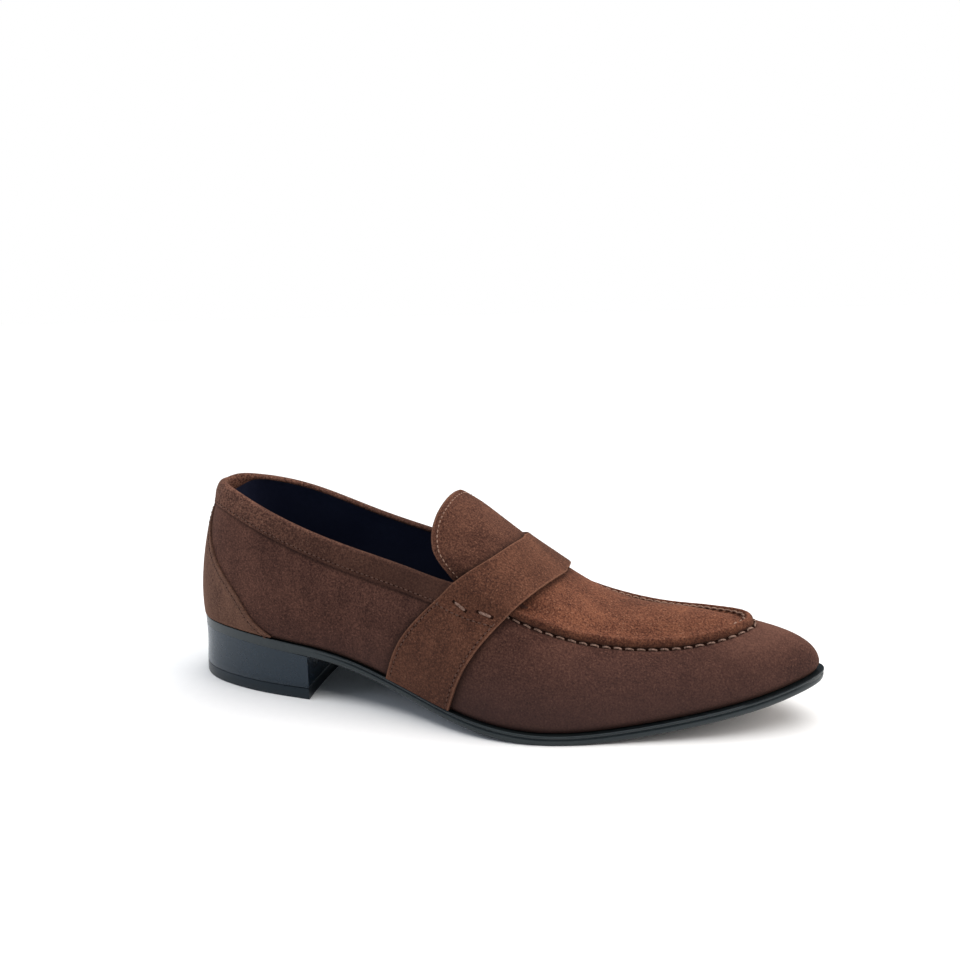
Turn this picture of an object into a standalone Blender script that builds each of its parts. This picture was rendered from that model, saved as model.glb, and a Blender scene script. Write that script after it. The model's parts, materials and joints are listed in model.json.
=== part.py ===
"""Suede strap loafer for the right foot, standing empty on its sole.

The shoe is drawn in millimetres from the back of the heel: X runs to the toe, Y to the inner
(medial) side and Z up from the floor. One function gives the surface of the last, and the upper and
everything sewn on it are cut from that surface or from forms parallel to it. A parent empty moves the
whole shoe so that its origin is under the middle of its box.
"""

import bmesh
import bpy
import numpy as np

# Driving dimensions, in millimetres
LENGTH = 305.0            # feather line, from heel back to toe tip
BALL_WIDTH = 94.0         # feather line, across the ball
INSTEP_HEIGHT = 72.0      # top of the last under the strap
HEEL_HEIGHT = 26.0        # floor to the underside of the sole at the heel back
COLLAR_HEIGHT = 97.5      # floor to the collar edge at the heel back

SOLE_THICKNESS = 4.8
TOP_PIECE_THICKNESS = 5.5
WALL = 2.0                # suede, stiffener and lining together
GAP = 0.3                 # between neighbouring pieces
APRON_THICKNESS = 1.1
APRON_GAP = 0.45          # between the upper and the apron, which bends more
RIM_RISE = 1.5            # how far the apron's sewn rim stands above it
RIM_WIDTH = 3.4
STRAP_THICKNESS = 1.8
STRAP_LIFT = 3.1          # how far the apron and tongue hold the strap off the last
TONGUE_THICKNESS = 1.8
BINDING_THICKNESS = 1.0
BINDING_DEPTH = 9.5       # outer flap of the collar binding
BINDING_INNER_DEPTH = 6.0
COUNTER_THICKNESS = 0.9
INSOLE_THICKNESS = 2.0
BREAST_AT = 76.0          # front of the heel, from the heel back
BREAST_HOLLOW = 2.0
HEEL_FLARE = 1.3          # how far the heel spreads from sole to floor
HEEL_INSET = 0.4          # how far the heel stays behind the sole's edge
FLOOR_BEVEL = 0.4         # on the top piece, where it meets the floor
BINDING_ROLL = 1.3        # height of the binding's rounded fold

MM = 0.001
LATERAL, MEDIAL = -1.0, 1.0

# One row for each section of the last, from heel back to toe tip. Along and the ridge's place are
# percents of the length, the half widths percents of the ball width, the ridge's height a percent of
# the instep. Bulge is how far the wall leans out above the feather line, in millimetres. Rise and
# reach say how full the section is below and above, as shares of its height and its run. Ledge is
# how far the sole stands out from the feather line, in millimetres.
SECTION_COLUMNS = ("along", "lateral", "medial", "ridge_along", "ridge_y", "ridge_height",
                   "bulge", "rise", "reach", "ledge")
SECTIONS = (
    (2.0,   0.0,  0.0,  17.2, 0.0, 180.0, 3.0, 0.29, 0.60, 0.8),
    (3.8,  13.9, 14.1,  17.6, 0.0, 180.0, 2.6, 0.31, 0.62, 0.8),
    (8.7,  24.4, 24.8,  19.2, 0.0, 179.0, 2.2, 0.35, 0.65, 0.8),
    (18.3, 31.8, 31.0,  24.4, 0.0, 175.0, 1.8, 0.39, 0.67, 0.8),
    (30.2, 34.6, 30.6,  32.3, 1.0, 166.0, 1.5, 0.43, 0.68, 0.9),
    (41.3, 40.0, 29.3,  42.0, 2.0, 146.0, 1.0, 0.46, 0.62, 1.3),
    (51.5, 50.4, 34.0,  49.8, 3.0, 123.2, 0.0, 0.50, 0.56, 1.7),
    (61.6, 52.7, 43.1,  57.7, 4.0,  96.0, 0.0, 0.55, 0.58, 1.9),
    (71.5, 44.8, 45.7,  65.2, 4.0,  72.7, 0.5, 0.60, 0.62, 2.0),
    (81.0, 35.4, 39.5,  71.5, 4.0,  62.0, 0.5, 0.64, 0.64, 2.0),
    (89.5, 25.3, 26.7,  75.7, 3.5,  60.0, 1.0, 0.69, 0.65, 2.0),
    (96.6, 12.6, 12.6,  78.5, 3.0,  60.0, 1.0, 0.75, 0.66, 2.0),
    (100.0, 0.0,  0.0,  79.7, 2.5,  60.0, 1.0, 0.77, 0.66, 2.0),
)
TOE = len(SECTIONS) - 1
STATIONS_A_SECTION = 4    # columns of the meshes between two sections
UPPER_ROWS = 12           # rows of the meshes, or columns across a band
APRON_ROWS = 5
TONGUE_ACROSS = 11
STRAP_ROWS, STRAP_ACROSS = 17, 6
COUNTER_ROWS, COUNTER_ACROSS = 11, 9
HEEL_SIDE = 12            # columns down each side of the heel
BREAST_COLUMNS = 6
RIDGE_SHARE = 0.97        # nearest to the ridge that the direction out of the last is measured

# Underside of the sole: along in percent of the length, height in percent of the heel height.
# Where the curve dips below the floor the sole is ground flat.
SOLE_COLUMNS = ("along", "height")
SOLE_LINE = ((0, 100), (10, 96.0), (21, 86.0), (30, 72.0), (40, 40.0), (50, 14.0), (60, 0.0),
             (67, -1.0), (76, 9.5), (86, 30.0), (94, 51.0), (100, 71.0))

# Edge of the sole from top to bottom, a lip, a groove and a plain side: how far each step stands out
# from the ledge, in millimetres, and how far down it lies, as a share of the thickness.
EDGE_COLUMNS = ("out", "down")
SOLE_EDGE = ((-0.5, 0.0), (0.0, 0.10), (0.0, 0.26), (-0.6, 0.36), (-0.1, 0.48), (-0.2, 0.88), (-0.9, 1.0))

# Collar edge: the section it is on, and its height on each side in percent of the collar height. The
# outer side is lower, for the ankle bone. It ends at the throat, where it reaches the ridge.
COLLAR_COLUMNS = ("section", "lateral", "medial")
COLLAR_LINE = ((0.0, 100.0, 100.0), (1.0, 100.5, 100.5), (2.0, 98.5, 99.0), (3.0, 89.0, 92.5),
               (4.0, 77.5, 80.5), (5.0, 68.7, 71.3), (6.0, 63.0, 64.5), (6.6, 65.0, 66.0), (7.1, 70.8, 70.8))
THROAT = 7.1
BINDING_END = 5.85        # section at the strap's back edge, where the binding stops

# Sewn edge of the apron: the section it is on, and its share of the way up from the feather line.
APRON_COLUMNS = ("section", "share")
APRON_LINE = ((6.0, 0.47), (7.0, 0.477), (8.0, 0.52), (9.0, 0.545), (10.0, 0.56), (11.0, 0.62), (12.0, 0.68))
APRON_START = 7.15        # section under the strap where the apron begins at the ridge
APRON_SLANT = 0.75        # how many sections further back it begins at its sewn edge
TONGUE_CLEAR = 0.04       # part of a section between the tongue and the apron

# Cross-section of the apron's rim: distance in from its edge in rim widths, and height over the apron
# in rim rises.
RIM_COLUMNS = ("inward", "rise")
RIM_SHAPE = ((0.0, -0.4), (0.0, 0.6), (0.25, 1.0), (0.7, 0.95), (1.0, 0.35), (1.5, 0.0))

# Strap: for each share of the way up, the sections of its back and front edges. The last row is past
# the ridge, on the other side.
STRAP_COLUMNS = ("share", "back", "front")
STRAP_LINE = ((0.0, 4.74, 5.76), (0.15, 4.94, 5.96), (0.35, 5.47, 6.38), (0.5, 5.89, 6.72),
              (0.65, 6.28, 7.03), (0.8, 6.56, 7.30), (0.92, 6.74, 7.50), (1.0, 6.79, 7.56),
              (1.08, 6.74, 7.50))
STRAP_FLAT, STRAP_LIFTED = 0.20, 0.47   # shares between which the strap leaves the upper

# Tongue: for each share of the way up, the section where its free end is, again past the ridge.
TONGUE_COLUMNS = ("share", "end")
TONGUE_LINE = ((0.51, 5.60), (0.53, 5.47), (0.57, 5.40), (0.65, 5.37), (0.79, 5.46), (0.92, 5.57),
               (1.0, 5.60), (1.08, 5.57))
TONGUE_ROWS = (0.51, 0.53, 0.57, 0.63, 0.70, 0.78, 0.86, 0.93, 1.0)

# Counter: the height in percent of the collar height, and the section of its front edge there.
COUNTER_COLUMNS = ("height", "section")
COUNTER_LOW = 0.01        # nearest share to the feather line
COUNTER_LINE = ((29.5, 3.03), (34.0, 2.82), (47.0, 2.47), (61.0, 1.95), (72.0, 1.48), (87.0, 0.95))

COLLECTION_NAME = "suede_loafer"
SUEDE, SUEDE_LIGHT, SUEDE_DARK = (0.13, 0.055, 0.034), (0.17, 0.073, 0.044), (0.105, 0.045, 0.029)
BLACK_LEATHER, BLACK_RUBBER, LINING = (0.012, 0.014, 0.017), (0.010, 0.011, 0.013), (0.010, 0.011, 0.018)
SUEDE_ROUGH, EDGE_ROUGH, RUBBER_ROUGH, LINING_ROUGH = 0.95, 0.30, 0.45, 0.60
SHARP_ANGLE = np.radians(35)


def spline(knots, values):
    """A function through the values at the knots, smooth in slope and bend."""
    knots, values = np.asarray(knots, float), np.asarray(values, float)
    step = np.diff(knots)
    rise = np.diff(values) / step
    count = len(knots)
    matrix, right = np.eye(count), np.zeros(count)
    for i in range(1, count - 1):
        matrix[i, i - 1:i + 2] = step[i - 1], 2 * (step[i - 1] + step[i]), step[i]
        right[i] = 6 * (rise[i] - rise[i - 1])
    bend = np.linalg.solve(matrix, right)

    def at(place):
        place = np.asarray(place, float)
        i = np.clip(np.searchsorted(knots, place) - 1, 0, count - 2)
        before = (knots[i + 1] - place) / step[i]
        after = 1 - before
        curve = (before ** 3 - before) * bend[i] + (after ** 3 - after) * bend[i + 1]
        return before * values[i] + after * values[i + 1] + curve * step[i] ** 2 / 6

    return at


def column(rows, names, name):
    return np.array([row[names.index(name)] for row in rows], float)


def table_curve(rows, names, name):
    """A smooth function of one column of a table, by its first column."""
    return spline(column(rows, names, names[0]), column(rows, names, name))


def section_curve(name):
    """A column of the sections as a smooth function of the section number."""
    return spline(np.arange(TOE + 1), column(SECTIONS, SECTION_COLUMNS, name))


def round_curve(name, sign):
    """The same for a line that runs on round heel and toe to the other side of the shoe.

    Across the middle line a place along the shoe repeats, sign 1, and a width turns over, sign -1.
    """
    values = column(SECTIONS, SECTION_COLUMNS, name)
    ends = 3
    before, after = sign * values[ends:0:-1], sign * values[-2:-2 - ends:-1]
    return spline(np.arange(-ends, TOE + ends + 1), np.concatenate([before, values, after]))


ALONG, LEDGE = round_curve("along", 1), round_curve("ledge", 1)
HALF_WIDTH = {LATERAL: round_curve("lateral", -1), MEDIAL: round_curve("medial", -1)}
BULGE, RISE, REACH = round_curve("bulge", 1), round_curve("rise", 1), round_curve("reach", 1)
RIDGE_ALONG, RIDGE_Y = section_curve("ridge_along"), section_curve("ridge_y")
RIDGE_HEIGHT = section_curve("ridge_height")
SOLE_HEIGHT = table_curve(SOLE_LINE, SOLE_COLUMNS, "height")
COLLAR = {LATERAL: table_curve(COLLAR_LINE, COLLAR_COLUMNS, "lateral"),
          MEDIAL: table_curve(COLLAR_LINE, COLLAR_COLUMNS, "medial")}
APRON_SHARE = table_curve(APRON_LINE, APRON_COLUMNS, "share")
STRAP_BACK = table_curve(STRAP_LINE, STRAP_COLUMNS, "back")
STRAP_FRONT = table_curve(STRAP_LINE, STRAP_COLUMNS, "front")
TONGUE_END = table_curve(TONGUE_LINE, TONGUE_COLUMNS, "end")
COUNTER_FRONT = table_curve(COUNTER_LINE, COUNTER_COLUMNS, "section")


def sole_bottom(x):
    """Height of the sole's underside, before it is ground flat at the forefoot."""
    return SOLE_HEIGHT(100 * np.asarray(x) / LENGTH) * HEEL_HEIGHT / 100


def sole_top(x):
    return sole_bottom(x) + SOLE_THICKNESS


def feather_plan(section, side, outward=0.0):
    """Plan of the feather line on one side, or of a line that runs outside it."""
    x, y = ALONG(section) * LENGTH / 100, side * HALF_WIDTH[side](section) * BALL_WIDTH / 100
    nudge = 0.01
    along = ALONG(section + nudge) - ALONG(section - nudge)
    widen = HALF_WIDTH[side](section + nudge) - HALF_WIDTH[side](section - nudge)
    run_x, run_y = along * LENGTH, side * widen * BALL_WIDTH
    size = np.hypot(run_x, run_y)
    return x - side * outward * run_y / size, y + side * outward * run_x / size


def ridge(section):
    """Top line of the last, over the instep and down the vamp."""
    x = RIDGE_ALONG(section) * LENGTH / 100
    return np.stack([x, RIDGE_Y(section), RIDGE_HEIGHT(section) * INSTEP_HEIGHT / 100], -1)


def last(section, share, side):
    """Point on the surface of the last: share runs from the feather line, 0, up to the ridge, 1."""
    section, share = np.broadcast_arrays(np.asarray(section, float), np.asarray(share, float))
    x, y = feather_plan(section, side)
    foot = np.stack([x, y, sole_top(x) + GAP], -1)
    top = ridge(section)
    run = foot - top
    run[..., 2] = 0
    outward = run / np.linalg.norm(run, axis=-1, keepdims=True)
    height = top[..., 2] - foot[..., 2]
    nudge = 0.01
    climb = ridge(section + nudge) - ridge(section - nudge)
    low = foot + outward * BULGE(section)[..., None]
    low[..., 2] += RISE(section) * height
    high = top + run * REACH(section)[..., None]
    high[..., 2] += (high[..., 0] - top[..., 0]) * climb[..., 2] / climb[..., 0]
    t = share[..., None]
    return (1 - t) ** 3 * foot + 3 * (1 - t) ** 2 * t * low + 3 * (1 - t) * t ** 2 * high + t ** 3 * top


def last_normal(section, share, side):
    """Direction straight out of the last."""
    section, share = np.broadcast_arrays(np.asarray(section, float), np.asarray(share, float))
    nudge = 0.002
    middle_share, middle = np.clip(share, nudge, RIDGE_SHARE), np.clip(section, nudge, TOE - nudge)
    along = last(middle + nudge, middle_share, side) - last(middle - nudge, middle_share, side)
    up = last(middle, middle_share + nudge, side) - last(middle, middle_share - nudge, side)
    normal = np.cross(along, up) * -side
    normal[..., 1] = np.where((section <= 0) | (section >= TOE), 0.0, normal[..., 1])
    return normal / np.linalg.norm(normal, axis=-1, keepdims=True)


def off_last(section, share, side, offset):
    """Point on a form parallel to the last."""
    section, share, offset = np.broadcast_arrays(section, share, offset)
    out = last_normal(section, share, side)
    middle = out + last_normal(section, share, -side)
    middle /= np.linalg.norm(middle, axis=-1, keepdims=True)
    out = np.where((share >= 1)[..., None], middle, out)
    return last(section, share, side) + out * offset[..., None]


def share_at_height(section, height, side):
    """Share of the way up at which each section reaches a height."""
    steps = np.linspace(0, 1, 200)
    section, height = np.broadcast_arrays(np.asarray(section, float), np.asarray(height, float))
    found = [np.interp(z, last(k, steps, side)[:, 2], steps) for k, z in zip(section.flat, height.flat)]
    return np.array(found).reshape(section.shape)


def share_of_mm(section, share, side):
    """Change of share that moves one millimetre up the section."""
    nudge = 0.005
    span = last(section, share + nudge, side) - last(section, share - nudge, side)
    return 2 * nudge / np.linalg.norm(span, axis=-1)


def collar_share(section, side):
    """Share of the way up at which the upper ends: the collar, then the throat, then the whole vamp."""
    height = COLLAR[side](np.minimum(section, THROAT)) * COLLAR_HEIGHT / 100
    return np.where(section < THROAT, share_at_height(section, height, side), 1.0)


def stations(first, end):
    """Section numbers of the mesh columns between two sections, with both ends."""
    inner = np.arange(TOE * STATIONS_A_SECTION + 1) / STATIONS_A_SECTION
    return np.concatenate([[first], inner[(inner > first + 0.05) & (inner < end - 0.05)], [end]])


def round_toe(lines):
    """Columns of both sides joined round the toe: lateral from heel to toe, then medial back again."""
    return np.concatenate([lines[LATERAL], lines[MEDIAL][-2::-1]])


def round_heel(lines):
    """Columns of both sides joined round the heel, from the lateral side to the medial."""
    return np.concatenate([lines[LATERAL][::-1], lines[MEDIAL][1:]])


def both(make):
    return {side: make(side) for side in (LATERAL, MEDIAL)}


def principled(name, colour, roughness):
    made = bpy.data.materials.new(name)
    made.use_nodes = True
    shader = made.node_tree.nodes["Principled BSDF"]
    shader.inputs["Base Color"].default_value = (*colour, 1)
    shader.inputs["Roughness"].default_value = roughness
    shader.inputs["Metallic"].default_value = 0.0
    return made


def finish(name, mesh, colour, roughness, parent):
    """A smooth-shaded object for a mesh, with its own material, on the shoe's parent."""
    mesh.materials.append(principled(name, colour, roughness))
    mesh.shade_smooth()
    mesh.set_sharp_from_angle(angle=SHARP_ANGLE)
    made = bpy.data.objects.new(name, mesh)
    bpy.data.collections[COLLECTION_NAME].objects.link(made)
    made.parent = parent
    return made


def add_grid(shape, grid):
    """Faces over a grid of points, and the grid of its vertices."""
    verts = [[shape.verts.new(point * MM) for point in line] for line in grid]
    for here, there in zip(verts[:-1], verts[1:]):
        for j in range(len(here) - 1):
            shape.faces.new((here[j], there[j], there[j + 1], here[j + 1]))
    return verts


def to_mesh(shape, name):
    """The mesh of a shape, with doubles merged and faces turned out."""
    bmesh.ops.remove_doubles(shape, verts=shape.verts, dist=0.00002)
    bmesh.ops.dissolve_degenerate(shape, edges=shape.edges, dist=0.000005)
    bmesh.ops.recalc_face_normals(shape, faces=shape.faces)
    mesh = bpy.data.meshes.new(name)
    shape.to_mesh(mesh)
    shape.free()
    return mesh


def border(verts, zipped):
    """Vertices round a grid in turn. The last row of a zipped grid meets itself and is left out."""
    first, end = verts[0], verts[-1]
    if zipped:
        return first[::-1] + [line[0] for line in verts[1:]] + end[1:]
    return [line[0] for line in verts] + end[1:] + [line[-1] for line in verts[-2::-1]] + first[-2:0:-1]


def sheet(name, outer, inner, zipped=False):
    """A closed sheet between two grids of points that match, such as two forms parallel to the last."""
    shape = bmesh.new()
    above = border(add_grid(shape, outer), zipped)
    below = border(add_grid(shape, inner), zipped)
    last_edge = len(above) - 1 if zipped else len(above)
    for i in range(last_edge):
        j = (i + 1) % len(above)
        shape.faces.new((above[i], above[j], below[j], below[i]))
    return to_mesh(shape, name)


def bar(name, sections):
    """A closed bar whose cross-section is each ring of points in turn, with its ends filled."""
    shape = bmesh.new()
    verts = [[shape.verts.new(point * MM) for point in ring] for ring in sections]
    for here, there in zip(verts[:-1], verts[1:]):
        for j in range(len(here)):
            k = (j + 1) % len(here)
            shape.faces.new((here[j], there[j], there[k], here[k]))
    shape.faces.new(verts[0])
    shape.faces.new(verts[-1][::-1])
    return to_mesh(shape, name)


def stack(name, rings, strips):
    """A solid through rings of points one above the other. Strips are the faces that fill both ends."""
    shape = bmesh.new()
    verts = [[shape.verts.new(point * MM) for point in ring] for ring in rings]
    for low, high in zip(verts[:-1], verts[1:]):
        for i in range(len(low)):
            j = (i + 1) % len(low)
            shape.faces.new((low[i], low[j], high[j], high[i]))
    for ring in (verts[0], verts[-1]):
        for strip in strips:
            shape.faces.new([ring[i] for i in strip])
    return to_mesh(shape, name)


def strips_across(count):
    """Faces across a ring that runs up one side to its middle point and back down the other."""
    half = count // 2
    faces = [(i, i + 1, count - i - 1, count - i) for i in range(1, half - 1)]
    return [(0, 1, count - 1)] + faces + [(half - 1, half, half + 1)]


def sole_ring(places, outward, height):
    """Ring round the sole outside or inside the feather line, at a height that depends on its place."""
    lines = {}
    for side in (LATERAL, MEDIAL):
        x, y = feather_plan(places, side, outward)
        lines[side] = np.stack([x, y, height(x)], -1)
    return round_toe(lines)[:-1]


def outsole(parent):
    """Sole with arch, toe spring, a lip and groove round its edge, and a flat spot at the forefoot."""
    places = stations(0, TOE)
    rings = []
    for out, down in SOLE_EDGE:
        def height(x, down=down):
            return np.maximum(sole_bottom(x) + SOLE_THICKNESS * (1 - down), 0.0)
        rings.append(sole_ring(places, LEDGE(places) + out, height))
    mesh = stack("outsole", rings, strips_across(len(rings[0])))
    return finish("outsole", mesh, BLACK_LEATHER, EDGE_ROUGH, parent)


def insole(parent):
    """Sock that lies on the sole inside the upper."""
    places = stations(0, TOE)
    inset = np.full(len(places), -(WALL + 2 * GAP))
    rings = []
    for lift in (GAP, GAP + INSOLE_THICKNESS):
        def height(x, lift=lift):
            return sole_top(x) + lift
        rings.append(sole_ring(places, inset, height))
    mesh = stack("insole", rings, strips_across(len(rings[0])))
    return finish("insole", mesh, LINING, LINING_ROUGH, parent)


def heel_ring(inset, height):
    """Ring round the heel from the lateral breast corner round the back, closed by the hollow breast."""
    behind = np.linspace(0.0, 1.0, HEEL_SIDE + 1)
    knots = np.linspace(0, TOE, 400)
    front = np.interp(BREAST_AT, ALONG(knots) * LENGTH / 100, knots)
    lines = {}
    for side in (LATERAL, MEDIAL):
        x, y = feather_plan(front * behind, side, LEDGE(front * behind) - HEEL_INSET - inset)
        lines[side] = np.stack([x, y], -1)
    walls = round_heel(lines)
    start, end = walls[-1], walls[0]
    inner = np.linspace(0, 1, BREAST_COLUMNS + 1)[1:-1, None]
    breast = start + (end - start) * inner
    breast[:, 0] -= BREAST_HOLLOW * 4 * (inner * (1 - inner))[:, 0]
    plan = np.concatenate([walls, breast])
    return np.column_stack([plan, height(plan[:, 0])])


def heel_strips(count):
    """Faces across a heel ring: strips between its two sides and one face behind the breast."""
    walls = 2 * HEEL_SIDE + 1
    faces = [(i, i + 1, walls - i - 2, walls - i - 1) for i in range(1, HEEL_SIDE - 1)]
    front = [0, 1, walls - 2, walls - 1] + list(range(walls, count))
    return [front] + faces + [(HEEL_SIDE - 1, HEEL_SIDE, HEEL_SIDE + 1)]


def heel_piece(name, parts, colour, roughness, parent):
    """A layer of the heel through rings given by inset and height."""
    rings = [heel_ring(inset, height) for inset, height in parts]
    mesh = stack(name, rings, heel_strips(len(rings[0])))
    return finish(name, mesh, colour, roughness, parent)


def heel(parent):
    """Heel block under the sole and the top piece that meets the floor."""
    joint_inset = -HEEL_FLARE * (1 - TOP_PIECE_THICKNESS / HEEL_HEIGHT)
    block = ((joint_inset, lambda x: 0 * x + TOP_PIECE_THICKNESS + GAP),
             (0.0, lambda x: sole_bottom(x) - GAP))
    heel_piece("heel_stack", block, BLACK_LEATHER, EDGE_ROUGH, parent)
    layer = ((FLOOR_BEVEL - HEEL_FLARE, lambda x: 0 * x),
             (-HEEL_FLARE, lambda x: 0 * x + FLOOR_BEVEL),
             (joint_inset, lambda x: 0 * x + TOP_PIECE_THICKNESS))
    heel_piece("top_piece", layer, BLACK_RUBBER, RUBBER_ROUGH, parent)


def upper(parent):
    """One hollow wall, open underneath and at the collar and throat."""
    places = stations(0, TOE)
    rows = np.linspace(0, 1, UPPER_ROWS)
    lines = both(lambda side: last(places[:, None], collar_share(places, side)[:, None] * rows, side))
    shape = bmesh.new()
    add_grid(shape, round_toe(lines))
    made = finish("upper", to_mesh(shape, "upper"), SUEDE, SUEDE_ROUGH, parent)
    wall = made.modifiers.new("wall", "SOLIDIFY")
    wall.thickness = WALL * MM
    wall.offset = -1
    wall.use_even_offset = True
    return made


def under_strap(share):
    """Section under the strap where the apron ends and the tongue begins, at each share up."""
    edge = APRON_SHARE(APRON_START - APRON_SLANT)
    return APRON_START - APRON_SLANT * (1 - share) / (1 - edge)


def apron(parent):
    """Plug on the vamp, with the raised rim where it is sewn on."""
    ahead = (stations(APRON_START, TOE)[:, None] - APRON_START) / (TOE - APRON_START)
    inward = column(RIM_SHAPE, RIM_COLUMNS, "inward") * RIM_WIDTH
    middle = np.linspace(0, 1, APRON_ROWS)[1:]
    rise = np.concatenate([column(RIM_SHAPE, RIM_COLUMNS, "rise"), 0 * middle]) * RIM_RISE

    def lines(offset):
        def one(side):
            first = under_strap(APRON_SHARE(APRON_START - APRON_SLANT))
            edge_place = first + (TOE - first) * ahead
            edge = APRON_SHARE(edge_place)
            rim = edge + share_of_mm(edge_place, edge, side) * inward
            shares = np.concatenate([rim, rim[:, -1:] + (1 - rim[:, -1:]) * middle], axis=1)
            first = under_strap(shares)
            return off_last(first + (TOE - first) * ahead, shares, side, offset)
        return round_toe(both(one))

    mesh = sheet("apron", lines(APRON_GAP + APRON_THICKNESS + rise), lines(APRON_GAP + 0 * rise), zipped=True)
    return finish("apron", mesh, SUEDE_LIGHT, SUEDE_ROUGH, parent)


def tongue(parent):
    """Free flap that comes out from under the strap, rounded at its end."""
    shares = np.array(TONGUE_ROWS)[:, None]
    back = np.linspace(0, 1, TONGUE_ACROSS)
    end = under_strap(shares) - TONGUE_CLEAR
    places = TONGUE_END(shares) * (1 - back) + end * back

    def face(offset):
        lines = both(lambda side: off_last(places, shares, side, offset))
        return np.concatenate([lines[LATERAL], lines[MEDIAL][-2::-1]])

    mesh = sheet("tongue", face(GAP + TONGUE_THICKNESS), face(GAP))
    return finish("tongue", mesh, SUEDE_LIGHT, SUEDE_ROUGH, parent)


def strap(parent):
    """One band from sole to sole that leaves the upper to pass over tongue and apron."""
    rows = np.linspace(0.0, 1.0, STRAP_ROWS)
    over = np.linspace(0, 1, STRAP_ACROSS)
    places = STRAP_BACK(rows)[:, None] * (1 - over) + STRAP_FRONT(rows)[:, None] * over
    lift = np.clip((rows - STRAP_FLAT) / (STRAP_LIFTED - STRAP_FLAT), 0, 1)
    low = GAP + STRAP_LIFT * lift ** 2 * (3 - 2 * lift)

    def face(offset):
        def one(side):
            return off_last(places, rows[:, None], side, offset[:, None])
        lines = both(one)
        return np.concatenate([lines[LATERAL], lines[MEDIAL][-2::-1]])

    mesh = sheet("strap", face(low + STRAP_THICKNESS), face(low))
    return finish("strap", mesh, SUEDE, SUEDE_ROUGH, parent)


def collar_binding(parent):
    """Band folded over the collar edge, with a deep outer flap and a short inner one."""
    places = stations(0, BINDING_END)
    outer, inner = GAP + BINDING_THICKNESS, -(WALL + GAP + BINDING_THICKNESS)
    angles = np.radians([30, 60, 90, 120, 150])

    def ring_lines(side):
        edge = collar_share(places, side)
        mm = share_of_mm(places, edge, side)
        top = last(places, edge, side)
        out = last_normal(places, edge, side)
        up = last(places, edge, side) - last(places, edge - mm, side)

        def flap(depths, offset):
            shares = edge[:, None] - mm[:, None] * np.asarray(depths)
            return off_last(places[:, None], shares, side, offset)

        def roll(across, rise):
            return (top + out * across + up * rise)[:, None]

        reach = outer + WALL / 2
        over = [roll(reach * np.cos(a) - WALL / 2, GAP + BINDING_ROLL * np.sin(a)) for a in angles]
        under = [roll(-WALL - GAP, GAP), roll(GAP, GAP)]
        half, full = BINDING_INNER_DEPTH / 2, BINDING_INNER_DEPTH
        middle, deep = BINDING_DEPTH / 2, BINDING_DEPTH
        parts = [flap((deep, middle, 0), outer), *over, flap((0, half, full), inner),
                 flap((full, half), -WALL - GAP), *under, flap((middle, deep), GAP)]
        return np.concatenate(parts, axis=1)

    mesh = bar("collar_binding", round_heel(both(ring_lines)))
    return finish("collar_binding", mesh, SUEDE_DARK, SUEDE_ROUGH, parent)


def counter(parent):
    """Overlay at the back: a strip up the back seam that spreads to slanting front edges."""
    first, end = COUNTER_LINE[0][0], COUNTER_LINE[-1][0]
    heights = np.linspace(first, end, COUNTER_ROWS)
    over = np.linspace(0, 1, COUNTER_ACROSS)
    places = COUNTER_FRONT(heights)[:, None] * over

    def face(offset):
        def one(side):
            shares = share_at_height(places, heights[:, None] * COLLAR_HEIGHT / 100, side)
            return off_last(places, np.maximum(shares, COUNTER_LOW), side, offset)
        lines = both(one)
        return np.concatenate([lines[LATERAL][:, ::-1], lines[MEDIAL][:, 1:]], axis=1)

    mesh = sheet("counter", face(GAP + COUNTER_THICKNESS), face(GAP))
    return finish("counter", mesh, SUEDE_DARK, SUEDE_ROUGH, parent)


def centre_on_origin(parent):
    """Moves the shoe so that the origin is on the floor under the middle of its box."""
    bpy.context.view_layer.update()
    graph = bpy.context.evaluated_depsgraph_get()
    corners = []
    for piece in parent.children:
        corners += [corner[:] for corner in piece.evaluated_get(graph).bound_box]
    corners = np.array(corners)
    low, high = corners.min(axis=0), corners.max(axis=0)
    parent.location = (-(low[0] + high[0]) / 2, -(low[1] + high[1]) / 2, -low[2])


def build():
    for old in list(bpy.data.objects):
        bpy.data.objects.remove(old, do_unlink=True)
    shoe = bpy.data.collections.new(COLLECTION_NAME)
    bpy.context.scene.collection.children.link(shoe)
    parent = bpy.data.objects.new("shoe_frame", None)
    shoe.objects.link(parent)
    for make in (outsole, heel, upper, insole, apron, tongue, strap, collar_binding, counter):
        make(parent)
    centre_on_origin(parent)


build()
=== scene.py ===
"""Suede strap loafer for the right foot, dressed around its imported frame.

The shoe is drawn in millimetres from the back of the heel: X to the toe, Y to the inner (medial) side and Z up from
the floor. Every suede piece is cut from one surface, the last, and lies parallel to it, so that pieces that are sewn
together also meet. A place on the last is a section, counted from the heel's back to the toe, and a share of the way
up from the feather line, where upper and sole meet, to the ridge. Place moves finished pieces into the frame's metres.
"""

import json
import logging
from dataclasses import dataclass, field
from enum import Enum
from functools import partial
from typing import Any, Callable, Sequence

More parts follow.
